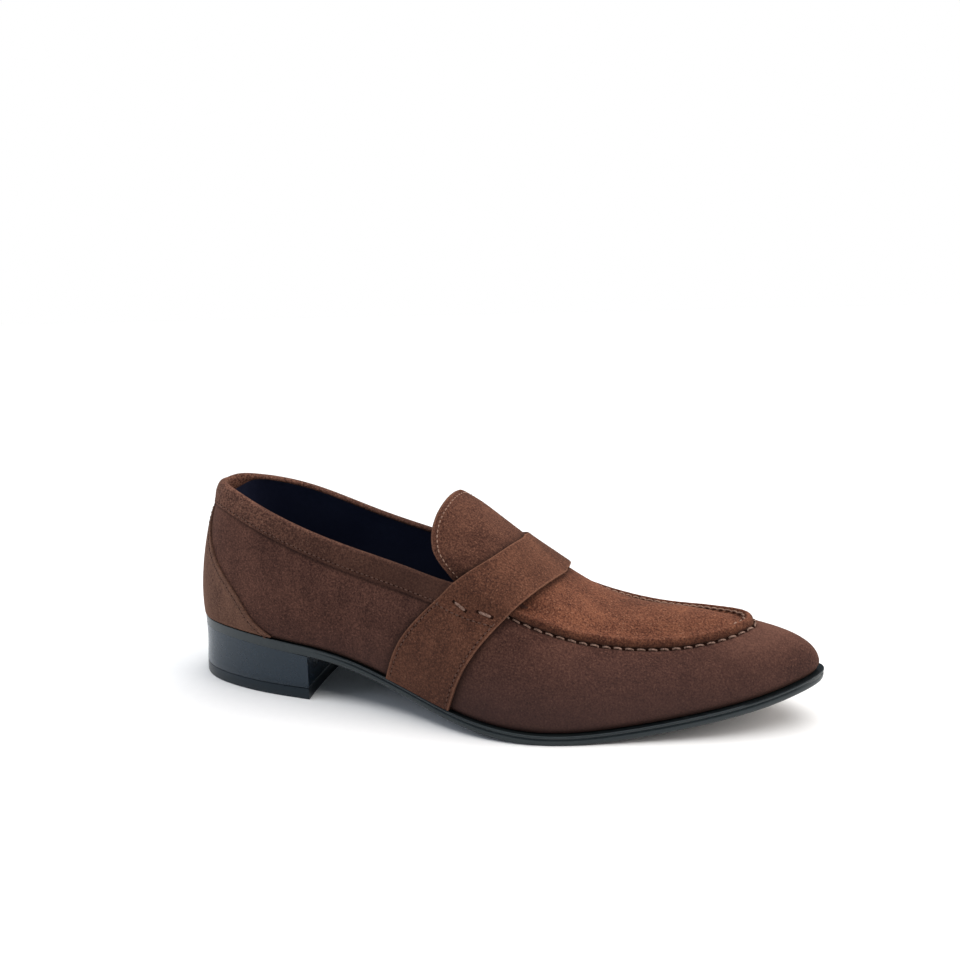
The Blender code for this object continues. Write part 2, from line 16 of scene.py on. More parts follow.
import bmesh
import bpy
import numpy as np
from mathutils import Matrix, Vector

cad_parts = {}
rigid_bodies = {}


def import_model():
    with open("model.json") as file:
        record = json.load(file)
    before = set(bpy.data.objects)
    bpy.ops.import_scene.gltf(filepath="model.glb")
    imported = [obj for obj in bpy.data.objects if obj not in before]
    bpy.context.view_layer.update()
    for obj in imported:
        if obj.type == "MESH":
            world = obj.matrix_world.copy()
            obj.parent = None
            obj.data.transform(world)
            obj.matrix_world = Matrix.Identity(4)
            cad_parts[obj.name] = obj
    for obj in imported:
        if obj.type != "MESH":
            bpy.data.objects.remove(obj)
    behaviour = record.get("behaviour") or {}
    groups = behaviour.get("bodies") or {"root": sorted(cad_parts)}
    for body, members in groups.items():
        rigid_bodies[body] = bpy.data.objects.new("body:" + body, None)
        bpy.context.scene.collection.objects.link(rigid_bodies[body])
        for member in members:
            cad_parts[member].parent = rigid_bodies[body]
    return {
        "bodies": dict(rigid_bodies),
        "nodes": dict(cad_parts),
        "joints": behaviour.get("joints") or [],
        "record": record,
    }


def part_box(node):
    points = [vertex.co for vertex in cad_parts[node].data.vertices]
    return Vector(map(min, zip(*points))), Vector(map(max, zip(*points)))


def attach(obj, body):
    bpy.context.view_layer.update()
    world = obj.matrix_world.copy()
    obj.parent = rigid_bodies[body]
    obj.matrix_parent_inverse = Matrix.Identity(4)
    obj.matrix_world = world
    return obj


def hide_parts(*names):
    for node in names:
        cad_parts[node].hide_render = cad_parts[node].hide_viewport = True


Array = np.ndarray
Curve = Callable[[Array], Array]
Table = tuple[tuple[float, ...], ...]
log = logging.getLogger("loafer")
MM = 0.001
CLIMB = np.linspace(0, 1, 200)    # shares at which a section is searched for a height
OVERLAP = 3                       # sections that a curve runs on past the middle line
EDGE_STEPS = 4                    # faces across a cut edge


class Side(Enum):
    """The two sides of the shoe, with the sign of Y on each."""

    LATERAL = -1.0
    MEDIAL = 1.0


def spline(knots: Sequence[float], values: Sequence[float]) -> Curve:
    """Makes a function through values at knots, smooth in slope and bend.

    Args:
        knots: Places, rising.
        values: Value at each place.

    Returns:
        A function of an array of places.
    """
    knots, values = np.asarray(knots, float), np.asarray(values, float)
    step, count = np.diff(knots), len(knots)
    rise = np.diff(values) / step
    matrix, right = np.eye(count), np.zeros(count)
    for i in range(1, count - 1):
        matrix[i, i - 1:i + 2] = step[i - 1], 2 * (step[i - 1] + step[i]), step[i]
        right[i] = 6 * (rise[i] - rise[i - 1])
    bend = np.linalg.solve(matrix, right)

    def at(place: Array) -> Array:
        """Finds the curve's values.

        Args:
            place: Places along the knots.

        Returns:
            The value at each.
        """
        place = np.asarray(place, float)
        i = np.clip(np.searchsorted(knots, place) - 1, 0, count - 2)
        before = (knots[i + 1] - place) / step[i]
        after = 1 - before
        curve = (before ** 3 - before) * bend[i] + (after ** 3 - after) * bend[i + 1]
        return before * values[i] + after * values[i + 1] + curve * step[i] ** 2 / 6

    return at


def table_curve(rows: Table, column: int = 1) -> Curve:
    """Makes a smooth function of one column of a table by its first column."""
    return spline(*np.array(rows, float)[:, [0, column]].T)


def ease(value: Array, start: float, end: float) -> Array:
    """Eases from 0 where a value is at start to 1 at end."""
    t = np.clip((np.asarray(value, float) - start) / (end - start), 0, 1)
    return t * t * (3 - 2 * t)


def bell(value: Array, centre: float, width: float) -> Array:
    """A hump of height 1 where a value is at the centre."""
    return np.exp(-((value - centre) / width) ** 2)


def unit(vectors: Array) -> Array:
    """Vectors scaled to length 1."""
    return vectors / np.maximum(np.linalg.norm(vectors, axis=-1, keepdims=True), 1e-12)


def running(points: Array) -> Array:
    """Length of a line up to each of its points."""
    return np.concatenate([[0.0], np.cumsum(np.linalg.norm(np.diff(points, axis=0), axis=1))])


def round_toe(sides: Sequence[Array]) -> Array:
    """Joins the lateral and the medial side's columns round the toe."""
    return np.concatenate([sides[0], sides[1][-2::-1]])


def round_heel(sides: Sequence[Array]) -> Array:
    """Joins the lateral and the medial side's columns round the heel."""
    return np.concatenate([sides[0][::-1], sides[1][1:]])


@dataclass
class Last:
    """The form that the shoe is built on, as a surface by section and by share of the way up to the ridge."""

    length: float = 305.0
    ball_width: float = 94.0
    instep_height: float = 72.0
    heel_height: float = 26.0
    collar_height: float = 97.5
    sole_thickness: float = 4.8
    gap: float = 0.3
    throat: float = 7.1
    ridge_share: float = 0.97
    line_step: float = 0.01      # steps that slopes are measured over: of lines,
    share_step: float = 0.005    # of a section
    normal_step: float = 0.002   # and of the surface
    # Place along, lateral and medial half width; the ridge's place along, Y and height; bulge, how full the section is
    # below and above, and ledge. In percents of length, ball width and instep; Y, bulge and ledge in millimetres.
    sections: Table = (
        (2.0, 0.0, 0.0, 17.2, 0.0, 180.0, 3.0, 0.29, 0.60, 0.8),
        (3.8, 13.9, 14.1, 17.6, 0.0, 180.0, 2.6, 0.31, 0.62, 0.8),
        (8.7, 24.4, 24.8, 19.2, 0.0, 179.0, 2.2, 0.35, 0.65, 0.8),
        (18.3, 31.8, 31.0, 24.4, 0.0, 175.0, 1.8, 0.39, 0.67, 0.8),
        (30.2, 34.6, 30.6, 32.3, 1.0, 166.0, 1.5, 0.43, 0.68, 0.9),
        (41.3, 40.0, 29.3, 42.0, 2.0, 146.0, 1.0, 0.46, 0.62, 1.3),
        (51.5, 50.4, 34.0, 49.8, 3.0, 123.2, 0.0, 0.50, 0.56, 1.7),
        (61.6, 52.7, 43.1, 57.7, 4.0, 96.0, 0.0, 0.55, 0.58, 1.9),
        (71.5, 44.8, 45.7, 65.2, 4.0, 72.7, 0.5, 0.60, 0.62, 2.0),
        (81.0, 35.4, 39.5, 71.5, 4.0, 62.0, 0.5, 0.64, 0.64, 2.0),
        (89.5, 25.3, 26.7, 75.7, 3.5, 60.0, 1.0, 0.69, 0.65, 2.0),
        (96.6, 12.6, 12.6, 78.5, 3.0, 60.0, 1.0, 0.75, 0.66, 2.0),
        (100.0, 0.0, 0.0, 79.7, 2.5, 60.0, 1.0, 0.77, 0.66, 2.0))
    sole_line: Table = (
        (0, 100), (10, 96), (21, 86), (30, 72), (40, 40), (50, 14), (60, 0), (67, -1), (76, 9.5), (86, 30), (94, 51),
        (100, 71))
    collar_line: Table = (
        (0, 100, 100), (1, 100.5, 100.5), (2, 98.5, 99), (3, 89, 92.5), (4, 77.5, 80.5), (5, 68.7, 71.3),
        (6, 63, 64.5), (6.6, 65, 66), (7.1, 70.8, 70.8))
    apron_line: Table = (
        (6, 0.47), (7, 0.477), (8, 0.52), (9, 0.545), (10, 0.56), (11, 0.62), (12, 0.68))

    def __post_init__(self) -> None:
        """Makes the curves through the tables."""
        self.toe = len(self.sections) - 1
        along, lateral, medial, *ridge, bulge, rise, reach, ledge = np.array(self.sections).T
        self.along, self.bulge, self.rise, self.reach, self.ledge = (
            self.round_curve(column, 1) for column in (along, bulge, rise, reach, ledge))
        self.half_width = {Side.LATERAL: self.round_curve(lateral, -1), Side.MEDIAL: self.round_curve(medial, -1)}
        self.ridge_curves = [spline(np.arange(self.toe + 1), column) for column in ridge]
        self.sole_curve, self.apron_share = table_curve(self.sole_line), table_curve(self.apron_line)
        self.collar = {Side.LATERAL: table_curve(self.collar_line), Side.MEDIAL: table_curve(self.collar_line, 2)}

    @staticmethod
    def round_curve(values: Array, sign: int) -> Curve:
        """Curve of a column that runs on round heel and toe, where its values repeat or, at -1, turn over."""
        ends = sign * values[OVERLAP:0:-1], sign * values[-2:-2 - OVERLAP:-1]
        return spline(np.arange(-OVERLAP, len(values) + OVERLAP), np.concatenate([ends[0], values, ends[1]]))

    def sole_bottom(self, x: Array) -> Array:
        """Height of the sole's underside at x, before it is ground flat."""
        return self.sole_curve(100 * np.asarray(x) / self.length) * self.heel_height / 100

    def feather_plan(self, section: Array, side: Side, outward: float | Array = 0.0) -> Array:
        """Plan of the feather line, or of a line that runs outside it.

        Args:
            section: Section numbers.
            side: Side of the shoe.
            outward: Distance outside the feather line.

        Returns:
            X and Y of each point.
        """
        sign, width, step = side.value, self.half_width[side], self.line_step
        x, y = self.along(section) * self.length / 100, sign * width(section) * self.ball_width / 100
        run_x = (self.along(section + step) - self.along(section - step)) * self.length
        run_y = sign * (width(section + step) - width(section - step)) * self.ball_width
        size = np.hypot(run_x, run_y)
        return np.stack([x - sign * outward * run_y / size, y + sign * outward * run_x / size], -1)

    def ridge(self, section: Array) -> Array:
        """Points of the last's top line."""
        along, y, height = (curve(section) for curve in self.ridge_curves)
        return np.stack([along * self.length / 100, y, height * self.instep_height / 100], -1)

    def surface(self, section: Array, share: Array, side: Side) -> Array:
        """Finds points on the last.

        Args:
            section: Section numbers.
            share: Shares of the way up.
            side: Side of the shoe.

        Returns:
            Points in millimetres.
        """
        section, share = np.broadcast_arrays(np.asarray(section, float), np.asarray(share, float))
        plan, top = self.feather_plan(section, side), self.ridge(section)
        foot = np.concatenate([plan, self.sole_bottom(plan[..., :1]) + self.sole_thickness + self.gap], -1)
        run = foot - top
        run[..., 2] = 0
        climb = self.ridge(section + self.line_step) - self.ridge(section - self.line_step)
        low = foot + unit(run) * self.bulge(section)[..., None]
        low[..., 2] += self.rise(section) * (top[..., 2] - foot[..., 2])
        high = top + run * self.reach(section)[..., None]
        high[..., 2] += (high[..., 0] - top[..., 0]) * climb[..., 2] / climb[..., 0]
        t = share[..., None]
        return (1 - t) ** 3 * foot + 3 * (1 - t) ** 2 * t * low + 3 * (1 - t) * t ** 2 * high + t ** 3 * top

    def normal(self, section: Array, share: Array, side: Side) -> Array:
        """Finds the direction straight out of the last, the mean of both sides' on the middle line.

        Args:
            section: Section numbers.
            share: Shares of the way up.
            side: Side of the shoe.

        Returns:
            Unit vectors.
        """
        section, share = np.broadcast_arrays(np.asarray(section, float), np.asarray(share, float))
        step, ends, outs = self.normal_step, (section <= 0) | (section >= self.toe), []
        up, on = np.clip(share, step, self.ridge_share), np.clip(section, step, self.toe - step)
        for one in (side, Side(-side.value)):
            along = self.surface(on + step, up, one) - self.surface(on - step, up, one)
            climb = self.surface(on, up + step, one) - self.surface(on, up - step, one)
            outs.append(unit(np.cross(along, climb) * -one.value))
        mean = outs[0] + outs[1]
        mean[..., 1] = np.where(ends, 0.0, mean[..., 1])
        return np.where((ends | (share >= 1))[..., None], unit(mean), outs[0])

    def off(self, section: Array, share: Array, side: Side, offset: float | Array) -> Array:
        """Points of a form that lies offset millimetres out of the last."""
        section, share, offset = np.broadcast_arrays(section, share, offset)
        return self.surface(section, share, side) + self.normal(section, share, side) * offset[..., None]

    def share_at_height(self, section: Array, height: Array, side: Side) -> Array:
        """Share of the way up at which each section reaches a height."""
        find = np.vectorize(lambda k, z: np.interp(z, self.surface(k, CLIMB, side)[:, 2], CLIMB))
        return find(section, height)

    def share_of_mm(self, section: Array, share: Array, side: Side) -> Array:
        """Change of share that moves one millimetre up the section."""
        ends = (self.surface(section, share + step, side) for step in (self.share_step, -self.share_step))
        return 2 * self.share_step / np.linalg.norm(np.subtract(*ends), axis=-1)

    def collar_share(self, section: Array, side: Side) -> Array:
        """Share of the way up at which the upper ends: the collar, and past the throat the ridge."""
        height = self.collar[side](np.minimum(section, self.throat)) * self.collar_height / 100
        return np.where(section < self.throat, self.share_at_height(section, height, side), 1.0)

    def stations(self, first: float, end: float, each: int) -> Array:
        """Section numbers of mesh columns from first to end, so many for each section."""
        inner, clear = np.arange(self.toe * each + 1) / each, 0.2 / each
        return np.concatenate([[first], inner[(inner > first + clear) & (inner < end - clear)], [end]])


@dataclass(frozen=True)
class Place:
    """Moves the shoe's millimetres into the frame's metres."""

    offset: tuple[float, float, float]

    @classmethod
    def from_outsole(cls, last: Last, solid_columns: int = 4) -> "Place":
        """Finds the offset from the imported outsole's box.

        Args:
            last: The last, whose sole outline is compared with the box.
            solid_columns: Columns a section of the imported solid.

        Returns:
            The place of the shoe.
        """
        places = last.stations(0, last.toe, solid_columns)
        outline = round_toe([last.feather_plan(places, side, last.ledge(places)) for side in Side])
        low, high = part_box("outsole")
        middle = (outline.min(axis=0) + outline.max(axis=0)) / 2 * MM
        return cls(((low.x + high.x) / 2 - middle[0], (low.y + high.y) / 2 - middle[1], 0.0))

    def to_frame(self, points: Array) -> Array:
        """Points of the shoe in metres of the frame."""
        return np.asarray(points) * MM + np.array(self.offset)


@dataclass
class Shape:
    """Points and faces gathered for one piece, in millimetres of the shoe."""

    points: list[Array] = field(default_factory=list)
    faces: list[list[int]] = field(default_factory=list)
    shades: list[Array] = field(default_factory=list)
    count: int = 0
    cut_from: int | None = None   # number of the first face of a cut edge

    def add(self, points: Array, shade: float | Array = 0.0) -> Array:
        """Adds points.

        Args:
            points: Points in any arrangement.
            shade: How far painted shade darkens the finish at each point, up to 1, or how far it is paled, down to -1.

        Returns:
            The points' numbers, in the same arrangement.
        """
        flat = np.asarray(points, float).reshape(-1, 3)
        numbers = np.arange(self.count, self.count + len(flat)).reshape(np.shape(points)[:-1])
        self.points.append(flat)
        self.shades.append(np.broadcast_to(np.asarray(shade, float), numbers.shape).reshape(-1))
        self.count += len(flat)
        return numbers

    def tube(self, rings: Array, caps: Sequence[Sequence[int]] | None = None) -> "Shape":
        """Adds a closed solid through rings of points.

        Args:
            rings: Rings of points, one after the other.
            caps: Faces, by place in a ring, that fill the first and last ring; one face when left out.

        Returns:
            The shape itself.
        """
        numbers = self.add(rings)
        for here, there in zip(numbers[:-1], numbers[1:]):
            self.faces += np.stack([here, np.roll(here, -1), np.roll(there, -1), there], -1).tolist()
        for ring in (numbers[0], numbers[-1]):
            self.faces += [ring[list(cap)].tolist() for cap in caps or [range(len(ring))]]
        return self

    def shell(self, outer: Array, inner: Array, crown: float = 0.35, shade: float | Array = 0.0) -> "Shape":
        """Adds a closed sheet between two grids of points that match, with a rounded cut edge.

        Args:
            outer: Grid of points on the outside. Points that coincide are merged.
            inner: Grid of points on the inside.
            crown: How far the edge swells out, in thicknesses.
            shade: Painted shade on the outside at each point, or below 0 how far it is paled.

        Returns:
            The shape itself.
        """
        key = np.round(outer.reshape(-1, 3), 4) + 0.0
        _, first, same = np.unique(key, axis=0, return_index=True, return_inverse=True)
        front, back = outer.reshape(-1, 3)[first], inner.reshape(-1, 3)[first]
        ids = same.reshape(outer.shape[:2])
        quads = np.stack([ids[:-1, :-1], ids[1:, :-1], ids[1:, 1:], ids[:-1, 1:]], -1).reshape(-1, 4)
        faces = [face for face in (tuple(dict.fromkeys(quad)) for quad in quads.tolist()) if len(face) > 2]
        ahead = self.add(front, np.broadcast_to(shade, outer.shape[:2]).reshape(-1)[first])
        behind = self.add(back)
        beside: dict[tuple[int, int], Array] = {}
        for face in faces:
            self.faces += [ahead[list(face)].tolist(), behind[list(face[::-1])].tolist()]
            middle = front[list(face)].mean(axis=0)
            beside.update({edge: middle for edge in zip(face, face[1:] + face[:1])})
        rim = [edge for edge in beside if edge[::-1] not in beside]
        away, along, through = np.zeros_like(front), np.zeros_like(front), front - back
        for a, b in rim:
            for i in (a, b):
                away[i] += (front[a] + front[b]) / 2 - beside[a, b]
                along[i] += front[b] - front[a]
        for way in (unit(along), unit(through)):
            away -= way * np.sum(away * way, axis=1, keepdims=True)
        reach = unit(away) * np.linalg.norm(through, axis=1, keepdims=True) * crown
        borders = sorted({i for edge in rim for i in edge})
        place = {i: n for n, i in enumerate(borders)}
        levels = [ahead[borders]]
        for turn in np.linspace(0, np.pi, EDGE_STEPS + 1)[1:-1]:
            share = (1 - np.cos(turn)) / 2
            ring = front[borders] * (1 - share) + back[borders] * share + reach[borders] * np.sin(turn)
            levels.append(self.add(ring))
        levels.append(behind[borders])
        self.cut_from = len(self.faces)
        for i, j in ((place[a], place[b]) for a, b in rim):
            for here, there in zip(levels[:-1], levels[1:]):
                self.faces.append(np.array([here[j], here[i], there[i], there[j]]).tolist())
        return self

    def mesh(self, name: str, place: Place, sharp: float) -> bpy.types.Mesh:
        """Makes the piece's mesh, smooth except where faces meet sharply.

        Args:
            name: Name of the piece.
            place: Where the shoe stands in the frame.
            sharp: Angle in degrees from which an edge stays sharp.

        Returns:
            The mesh, in metres of the frame.
        """
        made = bpy.data.meshes.new(name)
        made.from_pydata(place.to_frame(np.concatenate(self.points)), [], self.faces)
        if self.cut_from is not None:
            cut = np.arange(len(self.faces)) >= self.cut_from
            made.polygons.foreach_set("material_index", cut.astype(np.int32))
        shade = made.attributes.new("shade", "FLOAT", "POINT")
        shade.data.foreach_set("value", np.concatenate(self.shades).astype(np.float32))
        work = bmesh.new()
        work.from_mesh(made)
        bmesh.ops.remove_doubles(work, verts=work.verts, dist=2e-6)
        bmesh.ops.dissolve_degenerate(work, edges=work.edges, dist=1e-6)
        bmesh.ops.recalc_face_normals(work, faces=work.faces)
        work.to_mesh(made)
        work.free()
        made.shade_smooth()
        made.set_sharp_from_angle(angle=np.radians(sharp))
        return made


def linear(hex_colour: str) -> tuple[float, float, float, float]:
    """Turns an sRGB hex colour to linear red, green, blue and alpha."""
    values = [int(hex_colour[i:i + 2], 16) / 255 for i in (1, 3, 5)]
    return (*(v / 12.92 if v <= 0.04045 else ((v + 0.055) / 1.055) ** 2.4 for v in values), 1.0)


def per_mm(size: float) -> float:
    """Scale of a pattern on Object coordinates, in metres, whose features are size millimetres."""
    return 1.0 / (size * MM)


def feed(node: bpy.types.Node, inputs: dict[str | int, Any]) -> None:
    """Gives a node its inputs.

    Args:
        node: The node.
        inputs: For each input, by name or number, a value or the output that feeds it.
    """
    for name, value in inputs.items():
        named = node.inputs[name] if isinstance(name, int) else next(
            one for one in node.inputs if one.name == name and one.enabled)
        if isinstance(value, bpy.types.NodeSocket):
            node.id_data.links.new(value, named)
        else:
            named.default_value = value


def add_node(tree: bpy.types.NodeTree, kind: str, inputs: dict[str | int, Any] | None = None, give: str = "",
             stops: Sequence[tuple[float, str]] = (), **settings: Any) -> bpy.types.NodeSocket | None:
    """Adds a node to a tree.

    Args:
        tree: Tree of a material or of geometry.
        kind: Blender's name of the node.
        inputs: For each input, by name or number, a value or the output that feeds it.
        give: Name of the output that is wanted; the first in use when left out.
        stops: Places and colours of a colour ramp, its two ends first.
        settings: The node's own properties.

    Returns:
        The output, if the node has one.
    """
    made = tree.nodes.new(kind)
    for name, value in settings.items():
        setattr(made, name, value)
    for i, (place, colour) in enumerate(stops):
        stop = made.color_ramp.elements[i] if i < 2 else made.color_ramp.elements.new(place)
        stop.position, stop.color = place, linear(colour)
    feed(made, inputs or {})
    return next((one for one in made.outputs if one.enabled and give in ("", one.name)), None)


@dataclass(frozen=True)
class Surface:
    """What all finishes share: a Principled shader fed by patterns on Object coordinates."""

    name: str

    def inputs(self, tree: bpy.types.NodeTree, coords: bpy.types.NodeSocket) -> dict[str, Any]:
        """Builds the finish's patterns.

        Args:
            tree: Tree of the material.
            coords: Object coordinates.

        Returns:
            The shader's inputs.
        """
        raise NotImplementedError

    def material(self) -> bpy.types.Material:
        """Builds the finish's material.

        Returns:
            The material.
        """
        made = bpy.data.materials.new(self.name)
        made.use_nodes = True
        coords = add_node(made.node_tree, "ShaderNodeTexCoord", give="Object")
        feed(made.node_tree.nodes["Principled BSDF"], self.inputs(made.node_tree, coords))
        return made


@dataclass(frozen=True)
class Suede(Surface):
    """Calf split, dyed through and buffed to a short nap.

    To the eye it is matt and soft: brushed patches lie lighter or darker, fibre ends speckle it, and a faint sheen
    lifts the edges that turn away.
    """

    deep: str
    middle: str
    light: str
    fleck: str
    # Painted shade towards the foot: its colour, its strength at the bottom, and the heights in metres over which it
    # fades.
    low: str
    low_share: float = 0.0
    low_from: float = 0.004
    low_to: float = 0.060
    nap_share: float = 0.45
    patch_mm: float = 26.0
    stroke_mm: float = 6.0
    nap_mm: float = 0.85          # real fibres are 0.05 mm wide; drawn coarser so that the speckle shows
    fleck_mm: float = 0.75        # likewise
    nap_height: float = 0.0003
    upright_until: float = -1.0   # strokes run up and down behind this X, along the shoe before it
    upright_blend: float = 0.012
    calm: float = 0.0             # how far the mottling fades before that X
    dark_stop: float = 0.39
    light_stop: float = 0.62
    # Colour of the painted shade in crevices and beside parts, weighed by the shade attribute.
    crevice: str = "#1a0f0c"
    sheen: str = "#c79a80"
    # Turn and stretch of the strokes, upright and lying.
    strokes: tuple[tuple[tuple[float, ...], ...], ...] = (
        ((0.1, 0.25, 0.0), (1.0, 1.0, 0.3)), ((0.2, 0.2, 0.3), (0.35, 1.0, 1.0)))

    def inputs(self, tree: bpy.types.NodeTree, coords: bpy.types.NodeSocket) -> dict[str, Any]:
        """Builds the nap, its brushed patches and the flecks, with painted shade towards the foot and in crevices.

        Args:
            tree: Tree of the material.
            coords: Object coordinates.

        Returns:
            The shader's inputs.
        """
        add = partial(add_node, tree)
        place = add("ShaderNodeSeparateXYZ", {"Vector": coords}).node.outputs
        ahead = add("ShaderNodeMapRange", {"Value": place["X"], "From Min": self.upright_until - self.upright_blend,
                                           "From Max": self.upright_until + self.upright_blend})
        upright, lying = (add("ShaderNodeMapping", {"Vector": coords, "Rotation": turn, "Scale": stretch})
                          for turn, stretch in self.strokes)
        brushed = add("ShaderNodeMix", {"Factor": ahead, "A": upright, "B": lying}, data_type="VECTOR")
        patch, stroke, nap, fleck = (
            add("ShaderNodeTexNoise", {"Vector": at, "Scale": per_mm(size), "Detail": detail, "Roughness": rough,
                                       "Distortion": twist})
            for at, size, detail, rough, twist in (
                (coords, self.patch_mm, 3.0, 0.55, 0.5), (brushed, self.stroke_mm, 4.0, 0.65, 0.0),
                (coords, self.nap_mm, 2.0, 0.7, 0.0), (coords, self.fleck_mm, 1.0, 0.5, 0.0)))
        tone = patch
        fade = add("ShaderNodeMath", {0: ahead, 1: self.calm}, operation="MULTIPLY")
        for share, layer in ((0.42, stroke), (self.nap_share, nap), (fade, 0.5)):
            tone = add("ShaderNodeMix", {"Factor": share, "A": tone, "B": layer})
        colour = add("ShaderNodeValToRGB", {"Fac": tone}, stops=(
            (self.dark_stop, self.deep), (self.light_stop, self.light), (0.50, self.middle)))
        ends = add("ShaderNodeMapRange", {"Value": fleck, "From Min": 0.60, "From Max": 0.74, "To Max": 0.5})
        # Painted shade, darker towards the foot.
        foot_shade = add("ShaderNodeMapRange", {
            "Value": place["Z"], "From Min": self.low_from, "From Max": self.low_to, "To Min": self.low_share,
            "To Max": 0.0}, interpolation_type="SMOOTHSTEP")
        # Painted shade from the shade attribute; below 0 the attribute pales the suede instead.
        shade = add("ShaderNodeAttribute", give="Fac", attribute_name="shade")
        pale = add("ShaderNodeMapRange", {"Value": shade, "From Min": 0.0, "From Max": -1.0})
        for share, over in ((ends, self.fleck), (foot_shade, self.low), (pale, self.fleck), (shade, self.crevice)):
            colour = add("ShaderNodeMix", {"Factor": share, "A": colour, "B": linear(over)}, data_type="RGBA")
        relief = add("ShaderNodeMix", {"Factor": 0.3, "A": nap, "B": stroke})
        bump = add("ShaderNodeBump", {"Height": relief, "Strength": 0.9, "Distance": self.nap_height})
        return {"Base Color": colour, "Normal": bump, "Roughness": 0.95, "Specular IOR Level": 0.12,
                "Sheen Weight": 0.16, "Sheen Roughness": 0.45, "Sheen Tint": linear(self.sheen)}


@dataclass(frozen=True)
class PolishedEdge(Surface):
    """Leather, dyed black, waxed and burnished with a hot iron.

    To the eye it is nearly black with a soft blue-grey gloss, a little uneven where the iron passed.
    """

    dark: str
    worn: str
    roughness: float = 0.30
    spread: float = 0.10
    cloud_mm: float = 18.0
    grain_mm: float = 1.2
    grain_height: float = 0.00003
    coat: float = 0.25
    glint: str = "#b4cbdc"

    def inputs(self, tree: bpy.types.NodeTree, coords: bpy.types.NodeSocket) -> dict[str, Any]:
        """Builds the clouds and grain that vary colour and gloss.

        Args:
            tree: Tree of the material.
            coords: Object coordinates.

        Returns:
            The shader's inputs.
        """
        add, half = partial(add_node, tree), self.spread / 2
        cloud, grain = (add("ShaderNodeTexNoise", {"Vector": coords, "Scale": per_mm(size), "Detail": 3.0,
                                                   "Roughness": rough})
                        for size, rough in ((self.cloud_mm, 0.5), (self.grain_mm, 0.6)))
        tone = add("ShaderNodeMix", {"Factor": 0.4, "A": cloud, "B": grain})
        colour = add("ShaderNodeValToRGB", {"Fac": tone}, stops=((0.38, self.dark), (0.66, self.worn)))
        gloss = add("ShaderNodeMapRange", {"Value": tone, "From Min": 0.35, "From Max": 0.65,
                                           "To Min": self.roughness - half, "To Max": self.roughness + half})
        bump = add("ShaderNodeBump", {"Height": tone, "Strength": 0.6, "Distance": self.grain_height})
        return {"Base Color": colour, "Roughness": gloss, "Normal": bump, "IOR": 1.5, "Coat Weight": self.coat,
                "Coat Roughness": 0.22, "Specular Tint": linear(self.glint), "Coat Tint": linear(self.glint)}


@dataclass(frozen=True)
class LiningLeather(Surface):
    """Goat lining, dyed navy to black and plated smooth.

    To the eye it is a dark hollow with a dull glow on the turns, and fine pebbled grain close up.
    """

    name: str = "goat_lining_plated_smooth"
    dark: str = "#151a32"
    worn: str = "#232a44"
    cloud_mm: float = 20.0
    pebble_mm: float = 1.0        # real pebbles are 0.4 mm; drawn coarser so that they show
    pebble_height: float = 0.00008

    def inputs(self, tree: bpy.types.NodeTree, coords: bpy.types.NodeSocket) -> dict[str, Any]:
        """Builds the pebbled grain and the clouds.

        Args:
            tree: Tree of the material.
            coords: Object coordinates.

        Returns:
            The shader's inputs.
        """
        add = partial(add_node, tree)
        pebble = add("ShaderNodeTexVoronoi", {"Vector": coords, "Scale": per_mm(self.pebble_mm)})
        cloud = add("ShaderNodeTexNoise", {"Vector": coords, "Scale": per_mm(self.cloud_mm), "Detail": 3.0})
        colour = add("ShaderNodeMix", {"Factor": cloud, "A": linear(self.dark), "B": linear(self.worn)},
                     data_type="RGBA")
        bump = add("ShaderNodeBump", {"Height": pebble, "Strength": 0.35, "Distance": self.pebble_height})
        gloss = add("ShaderNodeMapRange", {"Value": cloud, "To Min": 0.42, "To Max": 0.62})
        return {"Base Color": colour, "Normal": bump, "Roughness": gloss}


@dataclass(frozen=True)
class Thread(Surface):
    """Waxed polyester sewing thread, twisted from three plies.

    To the eye it is a dull cord with darker turns where the wax took up the dye.
    """

    dark: str
    light: str
    turn_mm: float = 0.7
    turn_height: float = 0.0001
    gloss: float = 0.2

    def inputs(self, tree: bpy.types.NodeTree, coords: bpy.types.NodeSocket) -> dict[str, Any]:
        """Builds the turns of the plies.

        Args:
            tree: Tree of the material.
            coords: Object coordinates.

        Returns:
            The shader's inputs.
        """
        fibre = add_node(tree, "ShaderNodeTexNoise", {"Vector": coords, "Scale": per_mm(self.turn_mm), "Detail": 2.0,
                                                      "Roughness": 0.6})
        colour = add_node(tree, "ShaderNodeValToRGB", {"Fac": fibre}, stops=((0.36, self.dark), (0.62, self.light)))
        bump = add_node(tree, "ShaderNodeBump", {"Height": fibre, "Strength": 0.6, "Distance": self.turn_height})
        return {"Base Color": colour, "Normal": bump, "Roughness": 0.75, "Specular IOR Level": self.gloss}


@dataclass(frozen=True)
class PaintedBoard(Surface):
    """Floor board with matt paint. To the eye it is nearly white, with a trace of roller texture."""

    name: str = "studio_floor_painted_matt"
    dark: str = "#f3f3f2"
    light: str = "#f7f7f6"
    roller_mm: float = 4.0

    def inputs(self, tree: bpy.types.NodeTree, coords: bpy.types.NodeSocket) -> dict[str, Any]:
        """Builds the roller's texture.

        Args:
            tree: Tree of the material.
            coords: Object coordinates.

        Returns:
            The shader's inputs.
        """
        add, scale = partial(add_node, tree), per_mm(self.roller_mm)
        roller = add("ShaderNodeTexNoise", {"Vector": coords, "Scale": scale, "Detail": 2.0})
        colour = add("ShaderNodeMix", {"Factor": roller, "A": linear(self.dark), "B": linear(self.light)},
                     data_type="RGBA")
        return {"Base Color": colour, "Roughness": 0.9, "Specular IOR Level": 0.1}


